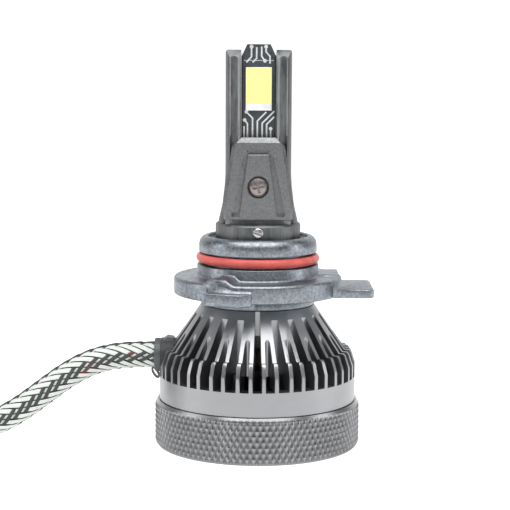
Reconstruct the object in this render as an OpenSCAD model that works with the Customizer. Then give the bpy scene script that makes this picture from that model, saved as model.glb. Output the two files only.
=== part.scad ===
// LED headlight bulb with a turning mounting adapter, a finned heat sink, a fan in its base and a short lead.
// +Z runs from the base to the tip, the front LED faces -Y, and the base stands on z = 0.

/* [Knurled base ring] */
// Outer radius of the knurled ring
ring_r = 17.05; // [15:0.05:21]
// Height of the knurled ring
ring_h = 7.6; // [7.2:0.1:10]
// Wall of the knurled ring
ring_wall = 1.7; // [1.3:0.1:2.2]
// Height of the polished chamfer at the ring's top
ring_chamfer = 0.9; // [0.4:0.05:1.1]
// Width of the polished chamfer, seen from above
ring_chamfer_w = 0.5; // [0.3:0.05:0.7]
// Thickness of the inward lip that the fan rests on
lip_t = 0.8; // [0.6:0.1:1.2]

/* [Heat sink] */
// Radius of the plain band above the ring
band_r = 16.3; // [15.5:0.05:20]
// Height of the plain band's visible face
band_h = 3.96; // [2.5:0.02:5]
// Wall of the skirt that the fan sits in
skirt_wall = 1.0; // [0.8:0.1:1.4]
// Number of Y-shaped fins
fin_count = 23; // [18:1:26]
// Thickness of a fin's leg
leg_t = 0.63; // [0.5:0.01:0.8]
// Angle between the two fins beside the wire slot
front_gap = 14.56; // [13:0.02:16]
// Height of the fins' straight outer bars
bar_h = 2.14; // [1.5:0.02:3]
// Height of the bars' sloping tops
bar_slope_h = 2.3; // [1.5:0.05:3]
// Radius of the bars at their tops
bar_top_r = 15.5; // [15:0.05:19]
// Radius of the cone at its foot
cone_foot_r = 14.55; // [12.5:0.05:14.9]
// Radius of the cone at its neck
cone_neck_r = 9.35; // [8.8:0.05:9.5]
// Height of the cone
cone_h = 7.4; // [6:0.1:9]
// Radius of the core at the slots' floors
core_r = 10.25; // [9.5:0.05:10.4]
// Radius at which a fin forks into two legs
fork_r = 12.2; // [11:0.05:12.6]

/* [Fan] */
// Height of the fan's frame
fan_h = 6.8; // [6.6:0.1:7.4]
// Inner radius of the fan's duct
duct_r = 11.6; // [11:0.1:12]
// Gap between the blade tips and the duct
tip_gap = 0.35; // [0.25:0.05:0.5]
// Number of fan blades
blade_count = 9; // [5:1:11]
// Thickness of a blade
blade_t = 0.5; // [0.4:0.05:0.8]
// Outer radius of the rotor's hub
hub_r = 6.0; // [5.8:0.1:6.6]
// Radius of the fan's shaft
shaft_r = 0.6; // [0.5:0.05:0.8]
// Radius of the fan screws' shanks
fan_screw_r = 0.7; // [0.5:0.05:0.8]

/* [Driver] */
// Radius of the driver board
driver_r = 8.2; // [7.8:0.1:8.6]
// Thickness of the driver board
driver_t = 1.0; // [0.8:0.1:1.6]

/* [Stem] */
// Radius of the collar that the adapter turns on
collar_r = 7.0; // [6.4:0.05:7.4]
// Height of the collar's top above the heat sink
collar_h = 13.5; // [12:0.1:16]
// Distance from the collar's top to the wings' tops
wing_h = 28.2; // [24:0.1:36]
// Radius over the two wings
wing_r = 5.42; // [5.2:0.02:6]
// Depth of the wings from front to back
wing_depth = 5.8; // [5:0.1:6.6]
// Half of the gap between the two wings
wing_gap = 2.87; // [2.6:0.01:3.1]
// Radius of the wings where they flare out at the collar
flare_r = 6.5; // [5.9:0.05:6.8]
// Height of the flare
flare_h = 8.0; // [5:0.5:10]
// Radius of the stem's shank in the heat sink
shank_r = 5.0; // [4.4:0.1:5.6]
// Radius of the three locking pins
pin_r = 0.85; // [0.6:0.05:1.1]

/* [Light boards] */
// Thickness of the copper core between the boards
core_t = 1.1; // [0.8:0.1:1.6]
// Thickness of each light board
board_t = 0.6; // [0.4:0.05:0.9]
// Width of each light board
board_w = 5.3; // [4.6:0.1:5.6]
// Width of the LED package
led_w = 4.24; // [3:0.02:4.6]
// Height of the LED package
led_h = 7.0; // [5:0.1:8]
// Height of the LED package's middle above the base
light_centre = 58.8; // [55:0.1:70]
// Height of a clamp block
clamp_h = 13.2; // [11:0.1:15]
// Width of a clamp block at its foot
clamp_foot_w = 10.6; // [9:0.1:11]
// Width of a clamp block at its top
clamp_top_w = 7.5; // [6:0.1:8.4]
// Thickness of a clamp block's plate
clamp_t = 1.6; // [1.2:0.1:2]
// Radius of a clamp screw's head
screw_head_r = 1.66; // [1.4:0.02:1.8]
// Radius of a clamp screw's shank
screw_r = 0.8; // [0.6:0.05:1]

/* [Adapter] */
// Radius of the adapter's flange
flange_r = 13.9; // [13:0.1:16]
// Thickness of the flange
flange_t = 2.95; // [2.2:0.05:3.6]
// Height of the boss under the flange
boss_h = 1.7; // [1:0.1:2.5]
// Radius of the boss under the flange
boss_r = 9.5; // [9:0.1:10.5]
// Radius of the barrel below the seal
barrel_r = 10.05; // [9.6:0.05:11]
// Radius of the barrel's upper ring
spigot_r = 9.75; // [9.4:0.05:10.6]
// Height of the barrel's lower ring
barrel_h = 1.95; // [1.2:0.05:3]
// Height of the seal's groove
groove_h = 2.0; // [1.8:0.05:2.6]
// Height of the upper ring's straight side
spigot_h = 1.2; // [1:0.05:2]
// Radius of the seal's round section
seal_r = 0.78; // [0.6:0.02:0.9]
// Reach of the side tab from the axis
tab_reach = 18.9; // [16:0.1:22]
// Thickness of the side tab
tab_t = 1.45; // [1:0.05:2]
// Share of the upper ring's wall that its open mouth takes
mouth_share = 0.43; // [0.35:0.01:0.5]

/* [Lead] */
// Outer diameter of the braided lead
cord_d = 4.4; // [4:0.1:5]
// Height of the lead's outlet
outlet_z = 14.6; // [14.2:0.1:15]
// Radius of the rubber grommet
grommet_r = 2.9; // [2.6:0.05:3.2]
// Length of the plug's shell
plug_l = 19; // [16:0.5:22]
// Width of the plug's shell
plug_w = 12.4; // [11:0.2:14]
// Height of the plug's shell
plug_h = 9.4; // [8.6:0.2:11]

/* [Clearances] */
// Clearance between pieces that are fixed to each other
fixed_gap = 0.05; // [0.02:0.01:0.1]
// Radial clearance of a running fit
run_gap = 0.04; // [0.02:0.01:0.08]
// Gap along the axis between pieces that turn on each other
turn_gap = 0.1; // [0.1:0.05:0.3]

/* [Hidden] */
$fn = 96;
// A length that is longer than any piece, for cuts that go right through
through = 60;
// An overlap that makes cuts and joined shapes meet cleanly
bite = 0.2;

// Numbers of like pieces that stand in a ring
pin_count = 3;
post_count = 3;
fan_screw_count = 3;

// Heights up the axis, and the skirt that the fan sits in
ring_in_r = ring_r - ring_wall;
skirt_r = ring_in_r - fixed_gap;
cavity_r = skirt_r - skirt_wall;
band_top = ring_h + band_h;
bar_top = band_top + bar_h + bar_slope_h;
neck_z = bar_top + cone_h;
core_t_below = 0.4;
core_bottom = bar_top - core_t_below;
collar_top = neck_z + collar_h;
wing_top = collar_top + wing_h;

// Fins
fin_pitch = (360 - front_gap) / (fin_count - 1);
fin_angles = [for (k = [0 : fin_count - 1]) front_gap / 2 + k * fin_pitch];
slot_angles = [for (k = [0 : fin_count - 2]) front_gap / 2 + (k + 0.5) * fin_pitch];
// Half widths of a slot, at its floor and for each millimetre outwards
slot_floor_half = 0.55;
slot_spread = 0.054;
wire_slot_floor = cone_neck_r - 0.05;
wire_slot_narrowing = 0.13;
fork_floor_z = band_top + 1.84;
// Reach of the slots past the bars
slot_reach = band_r + 1;

// Fan
frame_r = cavity_r - fixed_gap;
fan_bottom = lip_t;
fan_top = fan_bottom + fan_h;
blade_r = duct_r - tip_gap;
fan_screw_at = duct_r + 1.25;
fan_screw_head_r = 1.05;
fan_screw_head_h = 0.8;
fan_screw_head_z = fan_bottom + 0.1;
fan_screw_seat = fan_screw_head_z + fan_screw_head_h;
lip_r = frame_r - 0.2;
ledge_t = 1.2;
base_t = 0.7;
base_top = fan_bottom + base_t;
tube_r = 2.0;
bearing_r = 1.5;
bearing_h = 1.4;
tube_top = fan_top - 1.9;
fan_board_z = base_top + fixed_gap;
fan_board_t = 0.4;
stator_z = fan_board_z + fan_board_t + 0.55;
stator_h = 2.2;
stator_r = 4.25;
tooth_w = 1;
air_gap = 0.35;
magnet_t = 0.65;
magnet_in_r = stator_r + air_gap;
magnet_r = magnet_in_r + magnet_t;
cup_top = fan_top - 0.5;
cup_t = 0.7;
cup_bottom = base_top + 0.4;

// Driver
driver_z = fan_top + 1.2;
post_r = 1.0;
post_at = driver_r - 1.5;
driver_screw_r = 0.5;
driver_screw_bite = 1.9;
driver_hole_h = driver_screw_bite + 0.1;
driver_top = driver_z + driver_t;

// Stem
channel_r = 1.5;
shank_bottom = core_bottom + 1.0;
slot_half_y = core_t / 2 + board_t + fixed_gap;
plate_bottom = collar_top - 3.4;
board_bottom = collar_top - 2.4;
board_tip = wing_top + 0.9;
board_tip_w = 3.8;
board_taper = 1.6;
pin_z = collar_top - 1.1;
pin_reach = collar_r + 0.55;
pin_l = 2;
led_bottom = light_centre - led_h / 2;
led_t = 0.45;
led_rim = 0.32;
led_strip = 1.1;
board_face = core_t / 2 + board_t;
clamp_bottom = collar_top + 0.9;
clamp_top = clamp_bottom + clamp_h;
clamp_back = wing_depth / 2 + fixed_gap;
clamp_face = clamp_back + clamp_t;
clamp_screw_z = clamp_bottom + 5.2;
screw_seat = clamp_face - 1.0;

// Adapter
adapter_bottom = neck_z + turn_gap;
flange_bottom = adapter_bottom + boss_h;
flange_top = flange_bottom + flange_t;
groove_bottom = flange_top + barrel_h;
groove_top = groove_bottom + groove_h;
spigot_top = groove_top + spigot_h;
mouth_z = spigot_top + 1.5;
shoulder_z = spigot_top + 0.5;
bore_r = collar_r + run_gap;
mouth_r = bore_r + mouth_share * (spigot_r - bore_r);
seal_ring_r = spigot_r - seal_r / 3;
groove_floor = seal_ring_r - seal_r - fixed_gap;

// Lead
cord_r = cord_d / 2;
grommet_in = core_r + 2.35;
grommet_out = band_r - 0.3;
lead_y = 0.85;
lead_r = 0.6;
lead_inset = 0.9;
tie_t = 0.53;
coil_x = -74;
coil_y = 20;
coil_in_r = 17.8;
coil_pitch = cord_d + 0.2;
coil_mean_r = coil_in_r + coil_pitch / 2 + cord_r;
// The lead's route from the outlet to the coil, over the floor
cord_route = [[-grommet_out, 0, outlet_z], [-20, 0, outlet_z], [-24, 0, 14.3], [-28, -0.2, 13.2],
    [-32, -0.5, 11], [-36, -0.9, 8], [-40, -1.3, 5.1], [-44, -1.7, 3.1],
    [-48, -2.1, cord_r], [-53, -2.7, cord_r], [-58, -3.3, cord_r], [-63, -3.9, cord_r], [-68, -4.4, cord_r]];
// The short stretch from the coil's inner turn to the plug
coil_out_r = coil_mean_r + coil_pitch / 2;
coil_turns = 0.875;
tail_from = -90 - 360 * coil_turns;
tail_from_r = coil_out_r - coil_pitch * coil_turns;
tail_turn_r = 9.5;
tail_turn = 135;
tail_centre = [coil_x + (tail_from_r - tail_turn_r) * cos(tail_from),
    coil_y + (tail_from_r - tail_turn_r) * sin(tail_from), cord_r];
tail_end = tail_centre - tail_turn_r * [1, 0, 0];
tail_bend = [for (a = [0 : 15 : tail_turn])
    tail_centre + tail_turn_r * [cos(tail_from - a), sin(tail_from - a), 0]];
tail_route = concat(tail_bend, [tail_end + [0, 1, 0]]);
seal_l = 3;
plug_seal_r = cord_r + 0.7;
plug_wall = 1.1;
socket_l = plug_l * 0.55;

// A tube swept along a list of points
function unit(v) = v / norm(v);
function heading(p, i) = unit(p[min(i + 1, len(p) - 1)] - p[max(i - 1, 0)]);
function side_of(t) = unit(cross([0, 0, 1], t));
function ring_at(p, i, r, n) =
    let (t = heading(p, i), s = side_of(t), u = cross(t, s))
    [for (k = [0 : n - 1]) p[i] + r * cos(360 * k / n) * s + r * sin(360 * k / n) * u];
function flat(rings) = [for (ring = rings) for (v = ring) v];
function wall_faces(rows, n) =
    [for (i = [0 : rows - 2]) for (k = [0 : n - 1])
        [i * n + k, i * n + (k + 1) % n, (i + 1) * n + (k + 1) % n, (i + 1) * n + k]];
module swept_tube(p, r, n) {
    rings = [for (i = [0 : len(p) - 1]) ring_at(p, i, r, n)];
    near_end = [for (k = [n - 1 : -1 : 0]) k];
    far_end = [for (k = [0 : n - 1]) (len(p) - 1) * n + k];
    polyhedron(flat(rings), concat([near_end], wall_faces(len(p), n), [far_end]));
}

// Shared shapes
module tube(outer, inner, z, h) {
    translate([0, 0, z])
        difference() {
            cylinder(r = outer, h = h);
            translate([0, 0, -bite]) cylinder(r = inner, h = h + 2 * bite);
        }
}
module round_at(count, radius) {
    for (k = [0 : count - 1]) rotate([0, 0, 360 * k / count]) translate([radius, 0, 0]) children();
}
module facing_rear() {
    rotate([0, 0, 180]) children();
}

// ---- Base ring ----
module knurled_ring() {
    foot = 0.45;
    color("darkgray")
        rotate_extrude()
            polygon([[lip_r, 0], [ring_r - foot, 0], [ring_r, foot], [ring_r, ring_h - ring_chamfer],
                [ring_r - ring_chamfer_w, ring_h], [ring_in_r, ring_h], [ring_in_r, lip_t], [lip_r, lip_t]]);
}

// ---- Heat sink ----
// Half width of a slot between two fins
function slot_half(r) = slot_floor_half + (r - core_r) * slot_spread;
module slot_outline(floor_r, narrower) {
    polygon([[-slot_half(floor_r) + narrower, -floor_r], [slot_half(floor_r) - narrower, -floor_r],
        [slot_half(slot_reach) - narrower, -slot_reach], [-slot_half(slot_reach) + narrower, -slot_reach]]);
}
// Half widths of the gap inside a fork, so that each leg keeps its thickness
function fork_half(r) = r * sin(fin_pitch / 2) - slot_half(r) - leg_t;
module fork_outline() {
    tip = 0.25;
    floor_half = max(fork_half(fork_r + tip), tip);
    end_half = fork_half(slot_reach);
    polygon([[-floor_half, -fork_r - tip], [-tip / 2, -fork_r], [tip / 2, -fork_r],
        [floor_half, -fork_r - tip], [end_half, -slot_reach], [-end_half, -slot_reach]]);
}
module slots() {
    translate([0, 0, band_top]) {
        linear_extrude(through) slot_outline(wire_slot_floor, wire_slot_narrowing);
        for (a = slot_angles) rotate([0, 0, a]) linear_extrude(through) slot_outline(core_r, 0);
        for (a = fin_angles) rotate([0, 0, a]) linear_extrude(through) fork_outline();
    }
}
module sink_blank() {
    edge = 0.35;
    slope = (band_r - bar_top_r) / bar_slope_h;
    floor_r = fork_r + 0.3;
    skirt_foot = lip_t + 0.2;
    rotate_extrude()
        polygon([[0, core_bottom], [core_r, core_bottom], [core_r, fork_floor_z], [floor_r, fork_floor_z],
            [floor_r, band_top], [cavity_r, band_top], [cavity_r, skirt_foot], [skirt_r, skirt_foot],
            [skirt_r, ring_h + turn_gap], [band_r, ring_h + turn_gap], [band_r, band_top + bar_h],
            [bar_top_r + slope * edge, bar_top - edge], [bar_top_r - edge / 2, bar_top],
            [cone_foot_r, bar_top], [cone_neck_r, neck_z], [0, neck_z]]);
}
module wire_notch() {
    width = 1.2;
    height = 3.9;
    translate([-width / 2, -core_r - bite, core_bottom - bite]) cube([width, core_r + 1, height + bite]);
}
module heat_sink() {
    color("silver")
        difference() {
            union() {
                difference() {
                    sink_blank();
                    slots();
                }
                tube(cavity_r + bite, duct_r + bite, fan_top + fixed_gap, ledge_t);
                round_at(post_count, post_at)
                    translate([0, 0, driver_top]) cylinder(r = post_r, h = core_bottom - driver_top + bite);
            }
            translate([0, 0, shank_bottom]) cylinder(r = shank_r, h = through);
            translate([0, 0, neck_z - through / 2]) cylinder(r = channel_r, h = through);
            wire_notch();
            rotate([0, 0, 60]) round_at(fan_screw_count, fan_screw_at)
                translate([0, 0, fan_top - bite]) cylinder(r = fan_screw_r, h = ledge_t + 1);
            round_at(post_count, post_at)
                translate([0, 0, driver_top - bite]) cylinder(r = driver_screw_r, h = driver_hole_h + bite);
            translate([-through, 0, outlet_z])
                rotate([0, 90, 0]) cylinder(r = grommet_r, h = through - core_r + bite);
        }
}

// ---- Lead outlet ----
module cord_grommet() {
    hole_r = lead_r + 0.1;
    hole_inset = lead_inset - 0.1;
    color("black")
        difference() {
            translate([-grommet_out, 0, outlet_z])
                rotate([0, 90, 0]) cylinder(r = grommet_r - fixed_gap, h = grommet_out - grommet_in);
            for (side = [-1, 1])
                translate([-grommet_out + hole_inset, side * lead_y, outlet_z])
                    rotate([0, 90, 0]) cylinder(r = hole_r, h = through);
        }
}
module supply_leads() {
    drop_x = 6.6;
    color("firebrick")
        for (side = [-1, 1]) {
            translate([-grommet_out + lead_inset, side * lead_y, outlet_z])
                rotate([0, 90, 0]) cylinder(r = lead_r, h = grommet_out - lead_inset - drop_x);
            translate([-drop_x, side * lead_y, outlet_z]) sphere(r = lead_r);
            translate([-drop_x, side * lead_y, driver_top]) cylinder(r = lead_r, h = outlet_z - driver_top);
        }
}
module cable_tie() {
    strap_w = 1.1;
    head = [2.5, 2.6, 1.8];
    loop_r = 0.55;
    loop_t = 0.28;
    lead_gap = 0.02;
    loop_z = outlet_z - cord_r - tie_t - loop_t - fixed_gap;
    color("dimgray") {
        difference() {
            union() {
                translate([-grommet_out - strap_w, 0, outlet_z])
                    rotate([0, 90, 0]) cylinder(r = cord_r + tie_t, h = strap_w);
                translate([-grommet_out - bite, -head[1] / 2, bar_top + fixed_gap]) cube(head);
            }
            translate([-grommet_out - strap_w - 1, 0, outlet_z])
                rotate([0, 90, 0]) cylinder(r = cord_r + lead_gap, h = strap_w + 1);
            translate([-grommet_out, 0, outlet_z])
                rotate([0, 90, 0]) cylinder(r = grommet_r, h = head[0] + 1);
        }
        translate([-grommet_out - strap_w - 0.1, 0, loop_z])
            rotate([90, 0, 0]) rotate_extrude() translate([loop_r, 0]) circle(r = loop_t);
    }
}

// ---- Driver ----
module driver_board() {
    color("darkgreen")
        difference() {
            translate([0, 0, driver_z]) cylinder(r = driver_r, h = driver_t);
            round_at(post_count, post_at)
                translate([0, 0, driver_z - bite]) cylinder(r = driver_screw_r + fixed_gap, h = through);
        }
}
module driver_coil() {
    place = [3.4, -3.4];
    height = 3.2;
    end_r = 2.4;
    end_t = 0.5;
    color("dimgray")
        translate([place[0], place[1], driver_top]) {
            cylinder(r = end_r, h = end_t);
            cylinder(r = end_r - 0.5, h = height);
            translate([0, 0, height - end_t]) cylinder(r = end_r, h = end_t);
        }
}
module driver_capacitors() {
    places = [[-0.6, -4.9], [1.6, 5.2]];
    color("midnightblue")
        for (at = places) translate([at[0], at[1], driver_top]) cylinder(r = 1.6, h = 3.3);
}
module driver_chips() {
    color("black") {
        translate([-5, 1.6, driver_top]) cube([2.8, 2.8, 1.1]);
        translate([3.4, 1.2, driver_top]) cube([2, 1.8, 0.9]);
        translate([-5.2, -3.4, driver_top]) cube([1, 2, 0.8]);
    }
}
module driver_screws() {
    head_r = 0.95;
    head_h = 0.6;
    color("gainsboro")
        round_at(post_count, post_at) {
            translate([0, 0, driver_z - head_h]) cylinder(r = head_r, h = head_h);
            translate([0, 0, driver_z]) cylinder(r = driver_screw_r, h = driver_t + driver_screw_bite);
        }
}
module led_wires() {
    wire_r = 0.5;
    wire_y = 0.7;
    wire_h = plate_bottom - driver_top - fixed_gap;
    color("firebrick")
        for (side = [-1, 1]) translate([0, side * wire_y, driver_top]) cylinder(r = wire_r, h = wire_h);
}

// ---- Fan ----
module fan_frame() {
    strut_w = 1.6;
    strut_count = 3;
    plate_r = hub_r + 0.3;
    recess_h = fan_screw_seat - fan_bottom;
    color([0.13, 0.13, 0.14])
        difference() {
            union() {
                tube(frame_r, duct_r, fan_bottom, fan_h);
                translate([0, 0, fan_bottom]) cylinder(r = plate_r, h = base_t);
                rotate([0, 0, 30]) round_at(strut_count, hub_r)
                    translate([0, -strut_w / 2, fan_bottom]) cube([duct_r - hub_r + bite, strut_w, base_t]);
                translate([0, 0, fan_bottom]) cylinder(r = tube_r, h = tube_top - fan_bottom);
            }
            translate([0, 0, base_top]) cylinder(r = bearing_r, h = through);
            rotate([0, 0, 60]) round_at(fan_screw_count, fan_screw_at)
                translate([0, 0, fan_bottom - bite]) {
                    cylinder(r = fan_screw_r + fixed_gap, h = through);
                    cylinder(r = fan_screw_head_r + fixed_gap, h = recess_h + bite);
                }
        }
}
module fan_bearings() {
    color("goldenrod") {
        tube(bearing_r, shaft_r + run_gap, base_top + 0.5, bearing_h);
        tube(bearing_r, shaft_r + run_gap, tube_top - bearing_h, bearing_h);
    }
}
module fan_board() {
    color("seagreen") tube(hub_r - 1, tube_r + fixed_gap, fan_board_z, fan_board_t);
}
module stator_core() {
    shoe_t = 0.6;
    shoe_x = stator_r + 1;
    shoe_y = shoe_x * 0.6;
    color("slategray")
        translate([0, 0, stator_z])
            linear_extrude(stator_h)
                difference() {
                    union() {
                        circle(r = tube_r + 0.7);
                        for (k = [0 : 3]) rotate([0, 0, 90 * k]) {
                            translate([0, -tooth_w / 2]) square([stator_r - shoe_t / 2, tooth_w]);
                            intersection() {
                                difference() {
                                    circle(r = stator_r);
                                    circle(r = stator_r - shoe_t);
                                }
                                polygon([[0, 0], [shoe_x, -shoe_y], [shoe_x, shoe_y]]);
                            }
                        }
                    }
                    circle(r = tube_r + fixed_gap);
                }
}
module stator_coils() {
    wrap = 0.5;
    end_wrap = 0.4;
    wire_gap = 0.01;
    coil_start = tube_r + 0.75;
    coil_end = stator_r - 0.8;
    inner_w = tooth_w + 2 * wire_gap;
    inner_h = stator_h + 2 * wire_gap;
    color("peru")
        for (k = [0 : 3]) rotate([0, 0, 90 * k])
            difference() {
                translate([coil_start, -tooth_w / 2 - wrap, stator_z - end_wrap])
                    cube([coil_end - coil_start, tooth_w + 2 * wrap, stator_h + 2 * end_wrap]);
                translate([0, -inner_w / 2, stator_z - wire_gap]) cube([stator_r, inner_w, inner_h]);
            }
}
module fan_screws() {
    recess = [1.6, 0.3, 0.8];
    shank_h = fan_top + ledge_t - fan_screw_seat;
    color("gainsboro")
        rotate([0, 0, 60]) round_at(fan_screw_count, fan_screw_at)
            difference() {
                union() {
                    translate([0, 0, fan_screw_head_z]) cylinder(r = fan_screw_head_r, h = fan_screw_head_h);
                    translate([0, 0, fan_screw_seat]) cylinder(r = fan_screw_r, h = shank_h);
                }
                for (turn = [0, 90]) rotate([0, 0, turn])
                    translate([0, 0, fan_screw_head_z]) cube(recess, center = true);
            }
}
module fan_rotor() {
    lean = 38;
    root_r = hub_r - 0.2;
    blade_low = cup_bottom + 0.3;
    blade_h = cup_top - blade_low;
    sweep_h = 2 * blade_h;
    cup_h = cup_top - cup_bottom;
    color([0.16, 0.16, 0.17]) {
        difference() {
            translate([0, 0, cup_bottom]) cylinder(r = hub_r, h = cup_h);
            translate([0, 0, cup_bottom - bite]) cylinder(r = magnet_r, h = cup_h - cup_t + bite);
            translate([0, 0, cup_bottom]) cylinder(r = shaft_r, h = through);
        }
        intersection() {
            tube(blade_r, root_r, blade_low, blade_h);
            round_at(blade_count, root_r)
                translate([0, 0, blade_low + blade_h / 2])
                    rotate([lean, 0, 0]) translate([0, -blade_t / 2, -sweep_h])
                        cube([blade_r - root_r + 1, blade_t, 2 * sweep_h]);
        }
    }
}
module rotor_magnet() {
    color("darkslategray") tube(magnet_r - 0.01, magnet_in_r, stator_z - 0.5, stator_h + 1);
}
module fan_shaft() {
    shaft_z = base_top + 0.15;
    color("lightgray") translate([0, 0, shaft_z]) cylinder(r = shaft_r, h = cup_top - shaft_z);
}
module shaft_clip() {
    clip_r = 1.1;
    clip_t = 0.2;
    color("gray") tube(clip_r, shaft_r, base_top + 0.2, clip_t);
}

// ---- Stem ----
module wing_section() {
    flute_r = 0.75;
    flute_x = 4.0;
    difference() {
        intersection() {
            circle(r = flare_r + 1);
            translate([-flare_r - 1, -wing_depth / 2]) square([2 * flare_r + 2, wing_depth]);
        }
        translate([-wing_gap, -wing_depth]) square([2 * wing_gap, 2 * wing_depth]);
        for (x = [-flute_x, flute_x], y = [-1, 1])
            translate([x, y * (wing_depth / 2 + flute_r * 0.35)]) circle(r = flute_r);
    }
}
// The flare falls away upwards: shares of its height, and of its spread past the wings
module wings() {
    chamfer = 1.5;
    low = [0.4, 0.42];
    high = [0.75, 0.12];
    spread = flare_r - wing_r;
    edge = 0.25;
    difference() {
        intersection() {
            translate([0, 0, collar_top - bite]) linear_extrude(wing_h + bite) wing_section();
            rotate_extrude()
                polygon([[0, collar_top - bite], [flare_r, collar_top - bite], [flare_r, collar_top + 0.4],
                    [wing_r + spread * low[1], collar_top + flare_h * low[0]],
                    [wing_r + spread * high[1], collar_top + flare_h * high[0]],
                    [wing_r, collar_top + flare_h], [wing_r, wing_top - edge],
                    [wing_r - edge, wing_top], [0, wing_top]]);
        }
        for (turn = [0, 180]) rotate([0, 0, turn])
            translate([-through / 2, -wing_depth / 2, wing_top - chamfer])
                rotate([45, 0, 0]) cube([through, through / 2, through / 2]);
    }
}
module lamp_stem() {
    rim = 0.25;
    channel_h = plate_bottom - shank_bottom + 2 * bite;
    color("darkgray") {
        difference() {
            union() {
                wings();
                translate([0, 0, neck_z]) cylinder(r = collar_r, h = collar_h - rim);
                translate([0, 0, collar_top - rim]) cylinder(r1 = collar_r, r2 = collar_r - rim, h = rim);
                translate([0, 0, shank_bottom + fixed_gap]) cylinder(r = shank_r, h = neck_z - shank_bottom);
            }
            translate([0, 0, shank_bottom - bite]) cylinder(r = channel_r, h = channel_h);
            translate([-wing_gap, -slot_half_y, plate_bottom]) cube([2 * wing_gap, 2 * slot_half_y, through]);
            rotate([0, 0, -90]) round_at(pin_count, pin_reach - pin_l)
                translate([0, 0, pin_z]) rotate([0, 90, 0]) cylinder(r = pin_r, h = 2 * pin_l);
        }
    }
}
module locking_pins() {
    edge = 0.15;
    color("gray")
        rotate([0, 0, -90]) round_at(pin_count, pin_reach - pin_l)
            translate([0, 0, pin_z]) rotate([0, 90, 0]) {
                cylinder(r = pin_r, h = pin_l - edge);
                translate([0, 0, pin_l - edge]) cylinder(r1 = pin_r, r2 = pin_r - edge, h = edge);
            }
}
module tapered_plate(width, tip_w, bottom, tip, t) {
    rotate([90, 0, 0])
        translate([0, 0, -t / 2])
            linear_extrude(t)
                polygon([[-width / 2, bottom], [width / 2, bottom], [width / 2, tip - board_taper],
                    [tip_w / 2, tip], [-tip_w / 2, tip], [-width / 2, tip - board_taper]]);
}
module copper_core() {
    width = 2 * (wing_gap - fixed_gap);
    tip_w = board_tip_w + 0.2;
    color("chocolate")
        difference() {
            tapered_plate(width, tip_w, plate_bottom, board_tip - 0.3, core_t);
            translate([0, core_t, clamp_screw_z]) rotate([90, 0, 0]) cylinder(r = screw_r, h = 2 * core_t);
        }
}
module light_board() {
    color([0.25, 0.27, 0.29])
        difference() {
            translate([0, -core_t / 2 - board_t / 2, 0])
                tapered_plate(board_w, board_tip_w, board_bottom, board_tip, board_t);
            translate([0, 0, clamp_screw_z]) rotate([90, 0, 0]) cylinder(r = screw_r + fixed_gap, h = 3);
        }
}
module front_board() {
    light_board();
}
module rear_board() {
    facing_rear() light_board();
}
module led_package() {
    well = 0.25;
    color("white")
        difference() {
            translate([-led_w / 2, -board_face - led_t, led_bottom]) cube([led_w, led_t, led_h]);
            translate([-led_w / 2 + led_rim, -board_face - led_t - 1, led_bottom + led_strip])
                cube([led_w - 2 * led_rim, 1 + well, led_h - led_strip - led_rim]);
        }
}
module phosphor() {
    gap = 0.01;
    sunk = 0.05;
    fill_t = 0.2;
    inset = led_rim + gap;
    color("khaki")
        translate([-led_w / 2 + inset, -board_face - led_t + sunk, led_bottom + led_strip + gap])
            cube([led_w - 2 * inset, fill_t, led_h - led_strip - led_rim - 2 * gap]);
}
module front_led() {
    led_package();
}
module rear_led() {
    facing_rear() led_package();
}
module front_phosphor() {
    phosphor();
}
module rear_phosphor() {
    facing_rear() phosphor();
}
module clamp_grooves() {
    depth = 0.5;
    groove_low = [2.98, 3.81];
    groove_high = [1.68, 2.45];
    groove_z = clamp_top - 3.1;
    for (side = [-1, 1])
        translate([0, -clamp_face + depth, 0]) rotate([90, 0, 0])
            linear_extrude(2)
                polygon([[side * groove_high[0], groove_z], [side * groove_low[0], clamp_bottom - 1],
                    [side * groove_low[1], clamp_bottom - 1], [side * groove_high[1], groove_z]]);
}
module clamp_outline(top_chamfer) {
    shoulder_z = clamp_bottom + 2.5;
    corner_w = 0.94;
    foot = clamp_foot_w / 2;
    head = clamp_top_w / 2;
    neck = clamp_top - top_chamfer;
    polygon([[-foot, clamp_bottom], [foot, clamp_bottom], [foot, shoulder_z], [head, neck],
        [head - corner_w, clamp_top], [corner_w - head, clamp_top], [-head, neck], [-foot, shoulder_z]]);
}
module clamp_block() {
    top_chamfer = 0.8;
    foot_w = 2 * wing_gap - 0.3;
    color("silver")
        difference() {
            union() {
                translate([0, -clamp_back, 0]) rotate([90, 0, 0])
                    linear_extrude(clamp_t) clamp_outline(top_chamfer);
                translate([-foot_w / 2, -clamp_back - bite, clamp_bottom])
                    cube([foot_w, clamp_back + bite - board_face - fixed_gap, clamp_h]);
            }
            translate([-through / 2, -clamp_face, clamp_top - top_chamfer])
                rotate([45, 0, 0]) cube([through, 5, 5]);
            clamp_grooves();
            translate([0, 0, clamp_screw_z]) rotate([90, 0, 0]) {
                cylinder(r = screw_r + fixed_gap, h = through);
                translate([0, 0, screw_seat]) cylinder(r = screw_head_r + 0.15, h = through);
            }
        }
}
module front_clamp() {
    clamp_block();
}
module rear_clamp() {
    facing_rear() clamp_block();
}
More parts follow.
